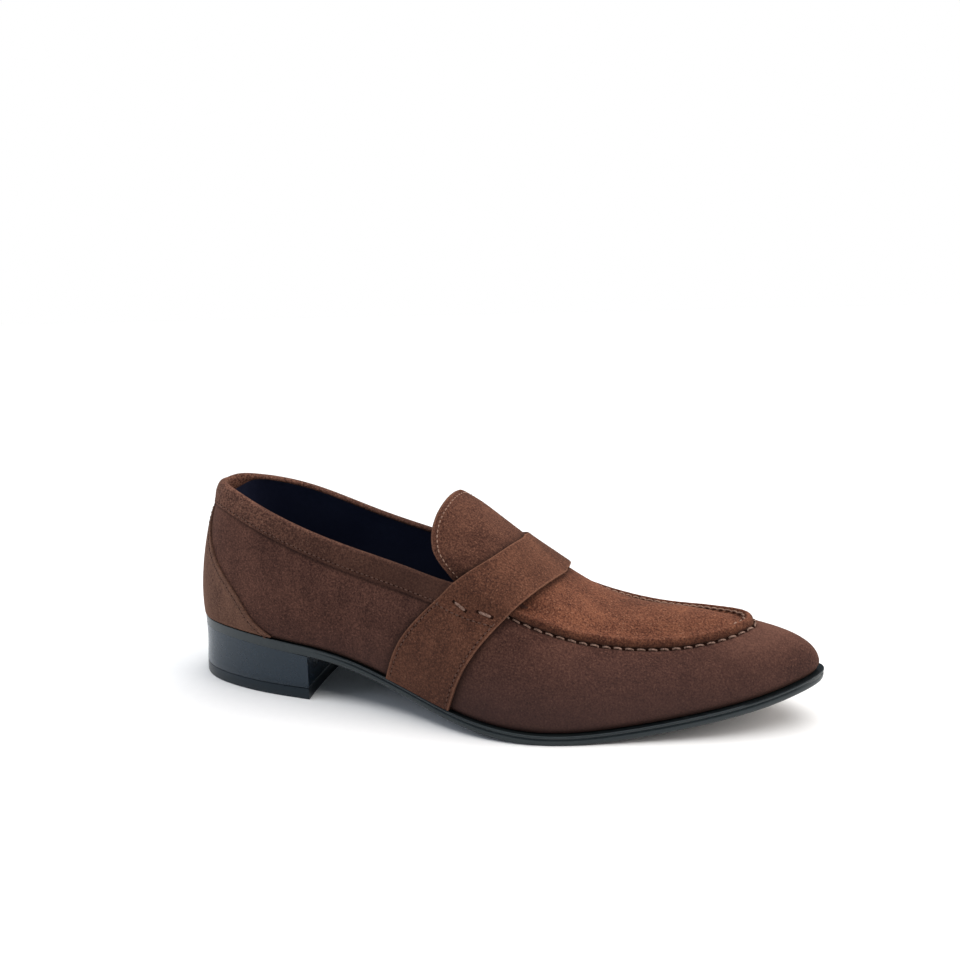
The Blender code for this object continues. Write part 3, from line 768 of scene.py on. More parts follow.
class Finish(Enum):
    """The finishes of the shoe."""

    BODY = Suede("calf_suede_brushed_body", "#311e1a", "#4a3029", "#634338", "#755245", "#3a2b2a", low_share=0.7,
                 low_to=0.045, nap_share=0.58, upright_until=-0.01, calm=0.15, dark_stop=0.385, light_stop=0.63)
    APRON = Suede("calf_suede_brushed_apron", "#3f2219", "#633c2d", "#81523c", "#a0735a", "#4a312a", nap_share=0.6)
    STRAP = Suede("calf_suede_brushed_strap", "#351f19", "#4f3125", "#694434", "#875f4b", "#452f28", low_share=0.3,
                  nap_share=0.58, upright_until=1.0)
    TONGUE = Suede("calf_suede_brushed_tongue", "#331c16", "#4e3127", "#674435", "#875f4b", "#4a312a", nap_share=0.6)
    BINDING = Suede("calf_suede_binding", "#321e18", "#563930", "#785343", "#9d7662", "#37231d", low_share=0.8,
                    low_from=0.060, low_to=0.100, nap_mm=0.9, fleck_mm=0.8, nap_share=0.64, nap_height=0.0007,
                    dark_stop=0.40, light_stop=0.60)
    COUNTER = Suede("calf_suede_brushed_counter", "#3f2a25", "#5b4237", "#725143", "#8c6650", "#6e4d3c", low_share=0.5,
                    nap_share=0.54, upright_until=1.0)
    CUT = Suede("calf_suede_cut_edge", "#5e4133", "#7b5846", "#93705a", "#a68268", "#5e4133", nap_share=0.6)
    SOLE = PolishedEdge("sole_leather_black_burnished", "#161b1d", "#24292a", roughness=0.36, glint="#bac9d1")
    # Its colours are tinted blue as painted reflection of the cool room; the leather itself is nearly black.
    HEEL = PolishedEdge("heel_leather_black_polished", "#04111d", "#071623", roughness=0.27, spread=0.04, grain_mm=3.0,
                        grain_height=0.00001)
    TOP_PIECE = PolishedEdge("rubber_black_moulded", "#060c12", "#0b1218", roughness=0.38, coat=0.0)
    LINING = LiningLeather()
    SOCK = LiningLeather("goat_sock_plated_smooth", "#0a0c14", "#11141d")
    SEAM_THREAD = Thread("waxed_thread_beige", "#5c463b", "#93776a")
    FINE_THREAD = Thread("sewing_thread_tan", "#73574a", "#9c7d6b")
    TONE_THREAD = Thread("sewing_thread_light_brown", "#46312a", "#644a3f")
    # Dark discs that stand for the shade inside needle holes: painted shade.
    HOLE = Thread("needle_hole_shadow", "#1c100c", "#281712", gloss=0.0)


def put(name: str, data: bpy.types.ID) -> bpy.types.Object:
    """Puts an object into the scene.

    Args:
        name: Name of the object.
        data: Its mesh, light or camera.

    Returns:
        The object, at the origin.
    """
    made = bpy.data.objects.new(name, data)
    bpy.context.scene.collection.objects.link(made)
    return made


@dataclass
class Workshop:
    """What every sub-assembly needs: the last, the place of the shoe and the finishes."""

    last: Last
    place: Place
    materials: dict[Finish, bpy.types.Material] = field(default_factory=dict)

    def make(self, name: str, shape: Shape, finish: Finish, slot: str, *nodes: str, cut: Finish | None = None,
             sharp: float = 50.0) -> None:
        """Makes a dressed piece of a shape, as dress does of a mesh, with its edges sharp from an angle."""
        self.dress(name, shape.mesh(name, self.place, sharp), finish, slot, *nodes, cut=cut)

    def dress(self, name: str, mesh: bpy.types.Mesh, finish: Finish, slot: str | None, *nodes: str,
              cut: Finish | None = None) -> None:
        """Makes a piece, gives it its material and ties it to the frame.

        Args:
            name: Name of the piece.
            mesh: Its finished mesh.
            finish: Its finish.
            slot: The record's material slot, if it has one; not used.
            nodes: CAD nodes that the piece stands for.
            cut: Finish of its cut edges, if they differ.
        """
        piece = put(name, mesh)
        mesh.materials.clear()
        for one in (finish, cut) if cut else (finish,):
            mesh.materials.append(self.material(one))
        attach(piece, "root")
        if nodes:
            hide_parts(*nodes)
        log.info("%s: %d faces", piece.name, len(mesh.polygons))

    def material(self, finish: Finish) -> bpy.types.Material:
        """The material of a finish, made at its first use."""
        if finish not in self.materials:
            self.materials[finish] = finish.value.material()
        return self.materials[finish]


@dataclass(frozen=True)
class Crease:
    """A soft trough or ridge on the suede between two places of one side, each a section and a share."""

    side: Side
    start: tuple[float, float]
    end: tuple[float, float]
    width: float
    depth: float

    def relief(self, last: Last, points: Array) -> Array:
        """Finds the crease's height.

        Args:
            last: The last.
            points: Points on or near its surface.

        Returns:
            Millimetres out of the surface, below 0 in a trough.
        """
        steps = np.linspace(0, 1, 25)
        section, share = (first + (end - first) * steps for first, end in zip(self.start, self.end))
        apart = np.linalg.norm(points[..., None, :] - last.surface(section, share, self.side), axis=-1)
        fade = np.sin(np.pi * np.clip(steps[apart.argmin(axis=-1)], 0.02, 0.98)) ** 0.7
        return self.depth * fade * bell(apart.min(axis=-1), 0.0, self.width)


@dataclass
class SeamLine:
    """The apron's sewn edge, with the places of its stitches."""

    last: Last
    start: float = 6.45
    pitch: float = 5.0
    points: int = 400

    def __post_init__(self) -> None:
        """Measures the line round the toe."""
        self.places = np.linspace(self.start, self.last.toe, self.points)
        share = self.last.apron_share(self.places)
        self.length = {side: running(self.last.surface(self.places, share, side)) for side in Side}
        self.total = self.length[Side.LATERAL][-1] + self.length[Side.MEDIAL][-1]
        self.stitches = int(round(self.total / self.pitch))

    def pull(self, section: Array, side: Side) -> Array:
        """Finds how hard the thread pulls.

        Args:
            section: Section numbers.
            side: Side of the shoe.

        Returns:
            1 at a hole between two stitches, 0 under a stitch.
        """
        gone = np.interp(section, self.places, self.length[side])
        if side is Side.MEDIAL:
            gone = self.total - gone
        return (1 - np.cos(2 * np.pi * gone / (self.total / self.stitches))) / 2


@dataclass
class Sole:
    """Outsole with a lip and groove round its edge, and the sock that lies on it."""

    shop: Workshop
    columns: int = 20
    sock_inset: float = 3.6
    sock_thickness: float = 2.0
    sock_edge: float = 0.6
    # Edge from the ledge to the underside: how far each step stands out, there and at the heel, where the edge is plain
    # and flush with the block, and its share of the thickness down.
    edge: Table = (
        (-4.0, -4.0, 0.10), (-1.1, -0.8, 0.10), (-0.5, -0.35, 0.02), (-0.12, -0.14, 0.04), (0.04, -0.08, 0.10),
        (0.04, -0.06, 0.17), (-0.1, -0.06, 0.23), (-0.34, -0.06, 0.27), (-0.46, -0.06, 0.30), (-0.46, -0.06, 0.33),
        (-0.32, -0.06, 0.37), (-0.14, -0.06, 0.42), (-0.06, -0.06, 0.50), (-0.06, -0.06, 0.66), (-0.16, -0.06, 0.82),
        (-0.38, -0.06, 0.92), (-0.75, -0.08, 0.98), (-1.3, -0.12, 1.0), (-6.0, -6.0, 1.0))
    plain_until: float = 3.1
    lip_from: float = 4.7

    def through(self, steps: Table) -> Shape:
        """Makes a solid through rings round the sole.

        Args:
            steps: Distance of each ring outside the ledge, the same at the heel, and its height over the underside.

        Returns:
            The shape.
        """
        last, rings = self.shop.last, []
        places = last.stations(0, last.toe, self.columns)
        lip = ease(places, self.plain_until, self.lip_from)
        for out, at_heel, rise in steps:
            outward = last.ledge(places) + (out * lip + at_heel * (1 - lip))
            plan = round_toe([last.feather_plan(places, side, outward) for side in Side])[:-1]
            rings.append(np.column_stack([plan, np.maximum(last.sole_bottom(plan[:, 0]) + rise, 0.0)]))
        count, half = len(rings[0]), len(rings[0]) // 2
        across = [(i, i + 1, count - i - 1, count - i) for i in range(1, half - 1)]
        return Shape().tube(np.array(rings), [(0, 1, count - 1), *across, (half - 1, half, half + 1)])

    def build(self) -> None:
        """Builds and dresses the outsole and the sock."""
        thick, edge, top = self.shop.last.sole_thickness, self.sock_edge, self.shop.last.gap + self.sock_thickness
        outsole = self.through([(out, at_heel, thick * (1 - down)) for out, at_heel, down in self.edge])
        self.shop.make("outsole_burnished", outsole, Finish.SOLE, "sole_leather", "outsole")
        steps = ((0.0, self.shop.last.gap), (0.0, top - edge), (0.25 * edge, top - 0.25 * edge), (edge, top))
        flush = -self.sock_inset
        sock = self.through([(flush - inset, flush - inset, thick + lift) for inset, lift in steps])
        self.shop.make("sock_lining", sock, Finish.SOCK, "lining", "insole")


@dataclass
class Heel:
    """Heel block under the sole, and the top piece that meets the floor."""

    shop: Workshop
    breast_at: float = 76.0
    breast_hollow: float = 2.0
    breast_slope: float = 0.4
    flare: float = 1.3
    bow: float = 0.35
    inset: float = 0.06
    top_piece: float = 5.5
    joint: float = 0.12
    edge: float = 0.35
    side_columns: int = 44
    breast_columns: int = 20
    block_rows: int = 7
    sharp: float = 40.0

    def plan(self, inset: float) -> Array:
        """Plan of the heel: from the lateral corner round the back, closed by the hollow breast.

        Args:
            inset: Distance inside the heel's upper outline.

        Returns:
            X and Y of each point.
        """
        last = self.shop.last
        knots = np.linspace(0, last.toe, 400)
        front = np.interp(self.breast_at - self.breast_slope * inset, last.along(knots) * last.length / 100, knots)
        places = front * np.linspace(0.0, 1.0, self.side_columns + 1)
        walls = round_heel([last.feather_plan(places, side, last.ledge(places) - self.inset - inset) for side in Side])
        share = np.linspace(0, 1, self.breast_columns + 1)[1:-1, None]
        breast = walls[-1] + (walls[0] - walls[-1]) * share
        breast[:, 0] -= self.breast_hollow * 4 * (share * (1 - share))[:, 0]
        return np.concatenate([walls, breast])

    def through(self, steps: Table) -> Shape:
        """Makes a layer of the heel through rings.

        Args:
            steps: Inset and height of each ring from below, and its share of the way from there up to the sole.

        Returns:
            The shape.
        """
        rings, side, walls = [], self.side_columns, 2 * self.side_columns + 1
        for inset, low, share in steps:
            plan = self.plan(inset)
            rings.append(np.column_stack([plan, low + (self.shop.last.sole_bottom(plan[:, 0]) - low) * share]))
        across = [(i, i + 1, walls - i - 2, walls - i - 1) for i in range(1, side - 1)]
        breast = (0, 1, walls - 2, walls - 1, *range(walls, len(rings[0])))
        return Shape().tube(np.array(rings), [breast, *across, (side - 1, side, side + 1)])

    def build(self) -> None:
        """Builds and dresses both layers."""
        edge, nick, top, base = self.edge, 0.3 * self.edge, self.top_piece, -self.flare
        inset, low = base * (1 - top / self.shop.last.heel_height), top + self.joint
        block = [(inset + edge, low, 0.0), (inset + nick, low + nick, 0.0)]
        block += [(inset * (1 - share) + self.bow * np.sin(np.pi * share), low + edge, share)
                  for share in np.linspace(0, 1, self.block_rows)]
        self.shop.make("heel_block", self.through(block), Finish.HEEL, "heel_leather", "heel_stack",
                       sharp=self.sharp)
        layer = ((base + edge, 0.0), (base + nick, nick), (base, edge), (inset, top - edge), (inset + nick, top - nick),
                 (inset + edge, top))
        wearing = self.through([(*step, 0.0) for step in layer])
        self.shop.make("heel_top_piece", wearing, Finish.TOP_PIECE, "heel_rubber", "top_piece", sharp=self.sharp)


@dataclass
class Strap:
    """Band from sole to sole over tongue and apron."""

    shop: Workshop
    thickness: float = 1.45
    gap: float = 0.15
    over_tongue: float = 2.35
    over_rim: float = 3.25
    over_apron: float = 2.8
    flat: tuple[float, float] = (0.385, 0.425)     # where the strap leaves the upper at its back and front edges
    lifted: tuple[float, float] = (0.475, 0.488)   # where it is all the way up
    skew: float = 0.10
    contact: Table = ((0.5, 1.7), (0.14, 9.0))     # painted shadow beside the strap: how dark, and how far out, in millimetres
    pale: float = 0.45
    pad: float = 0.1
    rows: int = 90
    columns: int = 40
    # Share of the way up, and the sections of the back and front edges.
    line: Table = (
        (0.0, 4.74, 5.76), (0.15, 4.94, 5.96), (0.35, 5.47, 6.38), (0.5, 5.89, 6.72), (0.65, 6.28, 7.03),
        (0.8, 6.56, 7.32), (0.92, 6.74, 7.55), (1.0, 6.81, 7.66), (1.08, 6.74, 7.55))

    def __post_init__(self) -> None:
        """Makes the curves of both edges."""
        self.back, self.front = table_curve(self.line, 1), table_curve(self.line, 2)

    def level(self, share: Array, over: Array) -> Array:
        """Finds the height of the strap's underside over the last.

        Args:
            share: Share of the way up.
            over: Place across the strap, 0 at its back edge and 1 at its front.

        Returns:
            Millimetres: flat on the upper low down, then over the tongue at the back and the apron at the front.
        """
        share, over = np.broadcast_arrays(np.asarray(share, float), np.asarray(over, float))
        start, end = (pair[0] * (1 - over) + pair[1] * over for pair in (self.flat, self.lifted))
        rise = ease((share - start) / (end - start), 0.0, 1.0)
        front = self.over_rim * rise + (self.over_apron - self.over_rim) * ease(share, 0.58, 0.8)
        forward = ease(over, 0.0, 0.75)
        return self.gap + self.over_tongue * rise * (1 - forward) + front * forward

    def beside(self, section: Array, share: Array, side: Side) -> Array:
        """Finds the painted shadow that the strap casts on other suede beside it.

        Args:
            section: Section numbers.
            share: Shares of the way up.
            side: Side of the shoe.

        Returns:
            Values from 0 to 1, highest at the strap's edges.
        """
        step = self.shop.last.length / self.shop.last.toe
        behind = (self.section(share, 0.0, side) - section) * step
        ahead = (section - self.section(share, 1.0, side)) * step
        away = np.maximum(np.maximum(behind, ahead), 0)
        return sum(dark * bell(away, 0.0, width) for dark, width in self.contact)

    def section(self, share: Array, over: Array, side: Side) -> Array:
        """Section of a place over the strap's width, shifted forward near the ridge on the medial side."""
        shift = (self.skew if side is Side.MEDIAL else 0.0) * ease(share, 1.0, 0.8) * ease(share, 0.25, 0.75)
        return self.back(share) * (1 - over) + self.front(share) * over + shift

    def build(self) -> None:
        """Builds and dresses the strap."""
        last = self.shop.last
        shares = np.linspace(0.0, 1.0, self.rows)[:, None]
        over = np.concatenate([[0.0, 0.012, 0.028], np.linspace(0.05, 0.95, self.columns), [0.972, 0.988, 1.0]])
        hollow = self.level(shares, over)
        # Padding between the edges fills the tunnel over the collar's end, so that no light comes through.
        padded = ease(over, 0.08, 0.25) * ease(over, 0.92, 0.75) * ease(shares, 0.75, 0.6)
        levels = (hollow + self.thickness, hollow * (1 - padded) + self.pad * padded)
        faces = (round_toe([last.off(self.section(shares, over, side), shares, side, level) for side in Side])
                 for level in levels)
        edge = np.broadcast_to(-self.pale * np.maximum(ease(over, 0.03, 0.0), ease(over, 0.97, 1.0)), hollow.shape)
        shape = Shape().shell(*faces, crown=0.10, shade=round_toe([edge, edge]))
        self.shop.make("strap_suede", shape, Finish.STRAP, "suede_strap", "strap", cut=Finish.CUT)


@dataclass
class Upper:
    """Suede wall from the sole to the collar and over the toe, and the lining inside it."""

    shop: Workshop
    seam: SeamLine
    strap: Strap
    columns: int = 22
    rows: int = 84
    lining_columns: int = 8
    lining_rows: int = 36
    suede: float = 1.1
    lining_from: float = 1.15
    wall: float = 2.0
    bound: float = 10.3
    tuck: float = 0.9
    tuck_width: float = 1.6
    groove: float = 0.55
    under_apron: float = 1.05
    pucker: float = 0.28
    # Painted highlight on the toe's top, by paling the suede.
    toe_highlight: float = 0.2
    sewn_from: float = 6.0                        # section behind which there is no seam,
    sewn: tuple[float, float] = (6.2, 6.7)        # and where it sets in
    foot: float = 0.02                            # share at which heights over the sole are measured
    slack: tuple[float, float] = (0.55, 0.45)     # share of the groove under a stitch, and what the thread's pull adds
    groove_at: tuple[float, float] = (0.5, 1.1)   # millimetres below the seam, and widths: of its groove,
    pucker_at: tuple[float, float] = (2.6, 1.5)   # of the puckers
    seam_shade_at: tuple[float, float] = (0.4, 1.0)    # and of the painted shade in the seam
    # How dark the painted shade in the seam's groove is.
    seam_shade: float = 0.6
    sole_shade: tuple[float, float] = (0.55, 1.5)  # painted shade along the sole: how dark, and how far up
    binding_shade: tuple[float, float] = (0.6, 0.8)    # painted shade under the binding: how dark, and how wide
    creases: tuple[Crease, ...] = (
        Crease(Side.LATERAL, (6.1, 0.02), (6.75, 0.42), 5.0, -0.55),
        Crease(Side.MEDIAL, (6.1, 0.02), (6.75, 0.42), 5.0, -0.55),
        Crease(Side.LATERAL, (4.55, 0.03), (5.5, 0.33), 6.0, -0.45),
        Crease(Side.MEDIAL, (4.55, 0.03), (5.5, 0.33), 6.0, -0.45),
        Crease(Side.LATERAL, (7.0, 0.10), (8.6, 0.30), 9.0, 0.5),
        Crease(Side.LATERAL, (3.2, 0.22), (4.8, 0.12), 9.0, -0.5),
        Crease(Side.MEDIAL, (3.2, 0.22), (4.8, 0.12), 9.0, -0.5),
        Crease(Side.LATERAL, (6.9, 0.28), (7.6, 0.12), 4.0, -0.3),
        Crease(Side.MEDIAL, (7.0, 0.30), (7.7, 0.12), 4.5, -0.35))

    def shares(self, places: Array, side: Side) -> Array:
        """Finds the shares of the mesh rows in each column, close together at the apron's seam.

        Args:
            places: Section of each column.
            side: Side of the shoe.

        Returns:
            A row of shares for each column.
        """
        last = self.shop.last
        top = last.collar_share(places, side)
        seam = np.minimum(last.apron_share(np.maximum(places, self.sewn_from)), 0.82 * top)
        mm = last.share_of_mm(places, seam, side)
        knots = np.stack([0 * top, np.minimum(2.0 * mm, 0.1 * seam), seam - np.minimum(6 * mm, 0.3 * seam),
                          seam + np.minimum(1.5 * mm, 0.3 * (top - seam)), top], -1)
        rows = np.linspace(0, 1, self.rows)
        return np.array([np.interp(rows, (0, 0.06, 0.55, 0.85, 1), line) for line in knots])

    def skin(self, section: Array, share: Array, side: Side) -> tuple[Array, Array]:
        """Finds the suede's relief and shade.

        Args:
            section: Section numbers.
            share: Shares of the way up.
            side: Side of the shoe.

        Returns:
            How far the suede stands off the last in millimetres; and its painted shade in grooves, at the sole, under
            the binding and beside the strap, or, below 0, its painted highlight on the toe.
        """
        last = self.shop.last
        points = last.surface(section, share, side)
        up = share / last.share_of_mm(section, np.full_like(share, self.foot), side)
        edge = last.apron_share(np.maximum(section, self.sewn_from))
        mm = last.share_of_mm(section, edge, side)
        below, rim = (edge - share) / mm, (last.collar_share(section[:, 0], side)[:, None] - share) / mm
        sewn, pull = ease(section, *self.sewn), self.seam.pull(section, side)
        relief = -self.tuck * bell(up, 0.0, self.tuck_width)
        relief -= sewn * self.groove * (self.slack[0] + self.slack[1] * pull) * bell(below, *self.groove_at)
        relief += sewn * self.pucker * (1 - pull) * bell(below, *self.pucker_at)
        relief -= self.under_apron * ease(-below, 1.2, 3.0) * ease(section, 6.9, 7.4)
        for crease in self.creases:
            if crease.side is side:
                relief += crease.relief(last, points)
        # Painted shade along the sole, in the seam's groove and under the binding, and the strap's painted shadow; a
        # painted highlight pales the toe.
        (low, reach), (high, width) = self.sole_shade, self.binding_shade
        groove = low * bell(up, 0.0, reach) + self.seam_shade * sewn * bell(below, *self.seam_shade_at)
        bound = high * ease(section, 6.0, 5.8) * bell(rim, self.bound, width)
        dark = np.maximum(np.maximum(groove, bound), self.strap.beside(section, share, side))
        pale = self.toe_highlight * ease(section, 8.6, 10.8) * ease(share, 0.15, 0.5)
        return relief, dark - pale * ease(dark, 0.3, 0.0)

    def build(self) -> None:
        """Builds and dresses the suede and the lining."""
        last = self.shop.last
        places, few = (last.stations(0, last.toe, each) for each in (self.columns, self.lining_columns))
        rows = np.linspace(0.0, 1, self.lining_rows)
        outer, inner, shade, lining, lining_back = [], [], [], [], []
        for side in Side:
            shares = self.shares(places, side)
            section = np.broadcast_to(places[:, None], shares.shape)
            level, dark = self.skin(section, shares, side)
            skived = self.suede * (1 - 0.9 * ease(level, -0.5, -self.under_apron) * ease(shares, 0.3, 0.4))
            outer.append(last.off(section, shares, side, level))
            inner.append(last.off(section, shares, side, level - skived))
            shade.append(dark)
            shares = last.collar_share(few, side)[:, None] * rows
            tuck = self.tuck * bell(shares, 0.0, self.foot)
            for grids, depth in ((lining, self.lining_from), (lining_back, self.wall)):
                grids.append(last.off(few[:, None], shares, side, -depth - tuck))
        suede = Shape().shell(round_toe(outer), round_toe(inner), shade=round_toe(shade))
        self.shop.make("upper_suede", suede, Finish.BODY, "suede", "upper", cut=Finish.CUT)
        inside = Shape().shell(round_toe(lining), round_toe(lining_back))
        self.shop.make("upper_lining", inside, Finish.LINING, "lining", cut=Finish.LINING)


@dataclass
class Apron:
    """Plug on the vamp with the rolled rim where it is sewn on."""

    shop: Workshop
    seam: SeamLine
    strap: Strap
    start: float = 7.15
    slant: float = 0.75
    gap: float = 0.45
    thickness: float = 1.1
    columns: int = 150
    middle_rows: int = 34
    nip: float = 0.22
    nip_at: tuple[float, float] = (0.9, 1.6)   # distance in from the rim's edge, and width
    nip_above: float = 0.3                     # height over the last from which the thread nips the rim
    least: float = 0.02                        # thickness at the rim's foot
    # Cross-section of the rim: distance in from its edge, height over the last, and painted shade, below 0 highlight.
    rim: Table = (
        (0.6, 0.10, 0.9), (0.15, 0.12, 0.9), (0.0, 0.45, 0.8), (0.08, 1.0, 0.68), (0.3, 1.55, 0.54),
        (0.7, 2.15, 0.45), (1.25, 2.7, 0.38), (1.85, 3.1, 0.26), (2.4, 3.32, 0.08), (2.85, 3.35, -0.1),
        (3.2, 3.18, -0.1), (3.42, 2.8, 0.05), (3.5, 2.3, 0.2), (3.58, 1.85, 0.35), (3.85, 1.62, 0.4), (4.6, 1.55, 0.2),
        (6.0, 1.55, 0.0))
    hollow: float = 1.6
    hollow_at: float = 7.5
    hollow_width: float = 5.5
    hollow_from: tuple[float, float] = (3.3, 4.2)

    def begins(self, share: Array) -> Array:
        """Section under the strap where the apron begins, at each share."""
        edge = self.shop.last.apron_share(self.start - self.slant)
        return self.start - self.slant * (1 - share) / (1 - edge)

    def build(self) -> None:
        """Builds and dresses the apron."""
        last = self.shop.last
        ahead = np.linspace(0, 1, self.columns)[:, None]
        inward, height, rim_shade = np.array(self.rim).T
        middle = np.linspace(0, 1, self.middle_rows)[1:]
        top = np.concatenate([height, np.full(len(middle), self.gap + self.thickness)])
        sewn = np.concatenate([bell(inward, *self.nip_at), 0 * middle])
        outer, inner, shade = [], [], []
        for side in Side:
            first = self.begins(last.apron_share(self.start - self.slant))
            place = first + (last.toe - first) * ahead
            edge = last.apron_share(place)
            rim = edge + last.share_of_mm(place, edge, side) * inward
            shares = np.concatenate([rim, rim[:, -1:] + (1 - rim[:, -1:]) * middle], axis=1)
            begin = self.begins(shares)
            section = begin + (last.toe - begin) * ahead
            edge = last.apron_share(section)
            inside = (shares - edge) / last.share_of_mm(section, edge, side)
            hollow = self.hollow * bell(inside, self.hollow_at, self.hollow_width) * ease(inside, *self.hollow_from)
            nipped = self.nip * self.seam.pull(section, side) * sewn * (top > self.nip_above)
            outer.append(last.off(section, shares, side, top - hollow - nipped))
            inner.append(last.off(section, shares, side, np.minimum(self.gap, top - self.least) - hollow))
            # Painted shadow of the strap, and painted shade on the rim's wall.
            beside = self.strap.beside(section, shares, side)
            shade.append(np.maximum(np.concatenate([rim_shade, 0 * middle]), beside))
        shape = Shape().shell(round_toe(outer), round_toe(inner), crown=0.15, shade=round_toe(shade))
        self.shop.make("apron_suede", shape, Finish.APRON, "suede_apron", "apron", cut=Finish.CUT)


@dataclass
class Tongue:
    """Free flap that comes out from under the strap and tucks its lower corners inside the collar."""

    shop: Workshop
    apron: Apron
    strap: Strap
    clear: float = 0.04
    gap: float = 0.5
    thickness: float = 1.8
    columns: int = 60
    inside: float = -4.6
    curl: float = 1.0
    curl_reach: float = 0.20
    curl_from: tuple[float, float] = (0.7, 0.95)
    lift_from: tuple[float, float] = (0.465, 0.56)       # shares between which it comes out of the collar
    corner_rows: tuple[float, float, int] = (0.44, 0.58, 24)
    upper_rows: tuple[float, float, int] = (0.59, 1.0, 40)
    crowding: float = 1.25                               # draws the columns to the free end
    pale: float = 0.4
    pale_to: float = 0.02
    # Way round from the lateral foot, 1 on the ridge and 2 at the medial foot, and the section of the free end.
    line: Table = (
        (0.44, 6.05), (0.47, 5.88), (0.50, 5.66), (0.53, 5.49), (0.57, 5.40), (0.65, 5.37), (0.79, 5.445),
        (0.92, 5.54), (1.0, 5.605), (1.08, 5.668), (1.15, 5.705), (1.25, 5.72), (1.35, 5.71), (1.43, 5.71),
        (1.47, 5.75), (1.5, 5.83), (1.53, 5.96), (1.56, 6.12))

    def __post_init__(self) -> None:
        """Makes the curve of the free end."""
        self.round = table_curve(self.line)

    def end(self, share: Array, side: Side) -> Array:
        """Section of the free end at each share of one side."""
        return self.round(share if side is Side.LATERAL else 2 - share)

    def level(self, share: Array, section: Array, side: Side) -> Array:
        """Finds the height of the tongue's underside over the last.

        Args:
            share: Share of the way up.
            section: Section numbers.
            side: Side of the shoe.

        Returns:
            Millimetres: inside the collar low down, on the instep above, curled down at the free end's middle.
        """
        behind = section - self.end(share, side)
        curl = self.curl * ease(share, *self.curl_from) * bell(behind, 0.0, self.curl_reach)
        return self.inside + (self.gap - self.inside) * ease(share, *self.lift_from) - curl

    def build(self) -> None:
        """Builds and dresses the tongue."""
        last = self.shop.last
        shares = np.concatenate([np.linspace(*self.corner_rows), np.linspace(*self.upper_rows)])[:, None]
        back = np.linspace(0, 1, self.columns) ** self.crowding
        front = self.apron.begins(shares) - self.clear
        outer, inner, shade = [], [], []
        for side in Side:
            section = self.end(shares, side) * (1 - back) + front * back
            level = self.level(shares, section, side)
            outer.append(last.off(section, shares, side, level + self.thickness))
            inner.append(last.off(section, shares, side, level))
            # The strap's painted shadow, and a paler band along the free edge.
            free_edge = self.pale * ease(back + 0 * shares, self.pale_to, 0.0)
            shade.append(self.strap.beside(section, shares, side) - free_edge)
        shape = Shape().shell(round_toe(outer), round_toe(inner), crown=0.3, shade=round_toe(shade))
        self.shop.make("tongue_suede", shape, Finish.TONGUE, "suede_tongue", "tongue", cut=Finish.CUT)


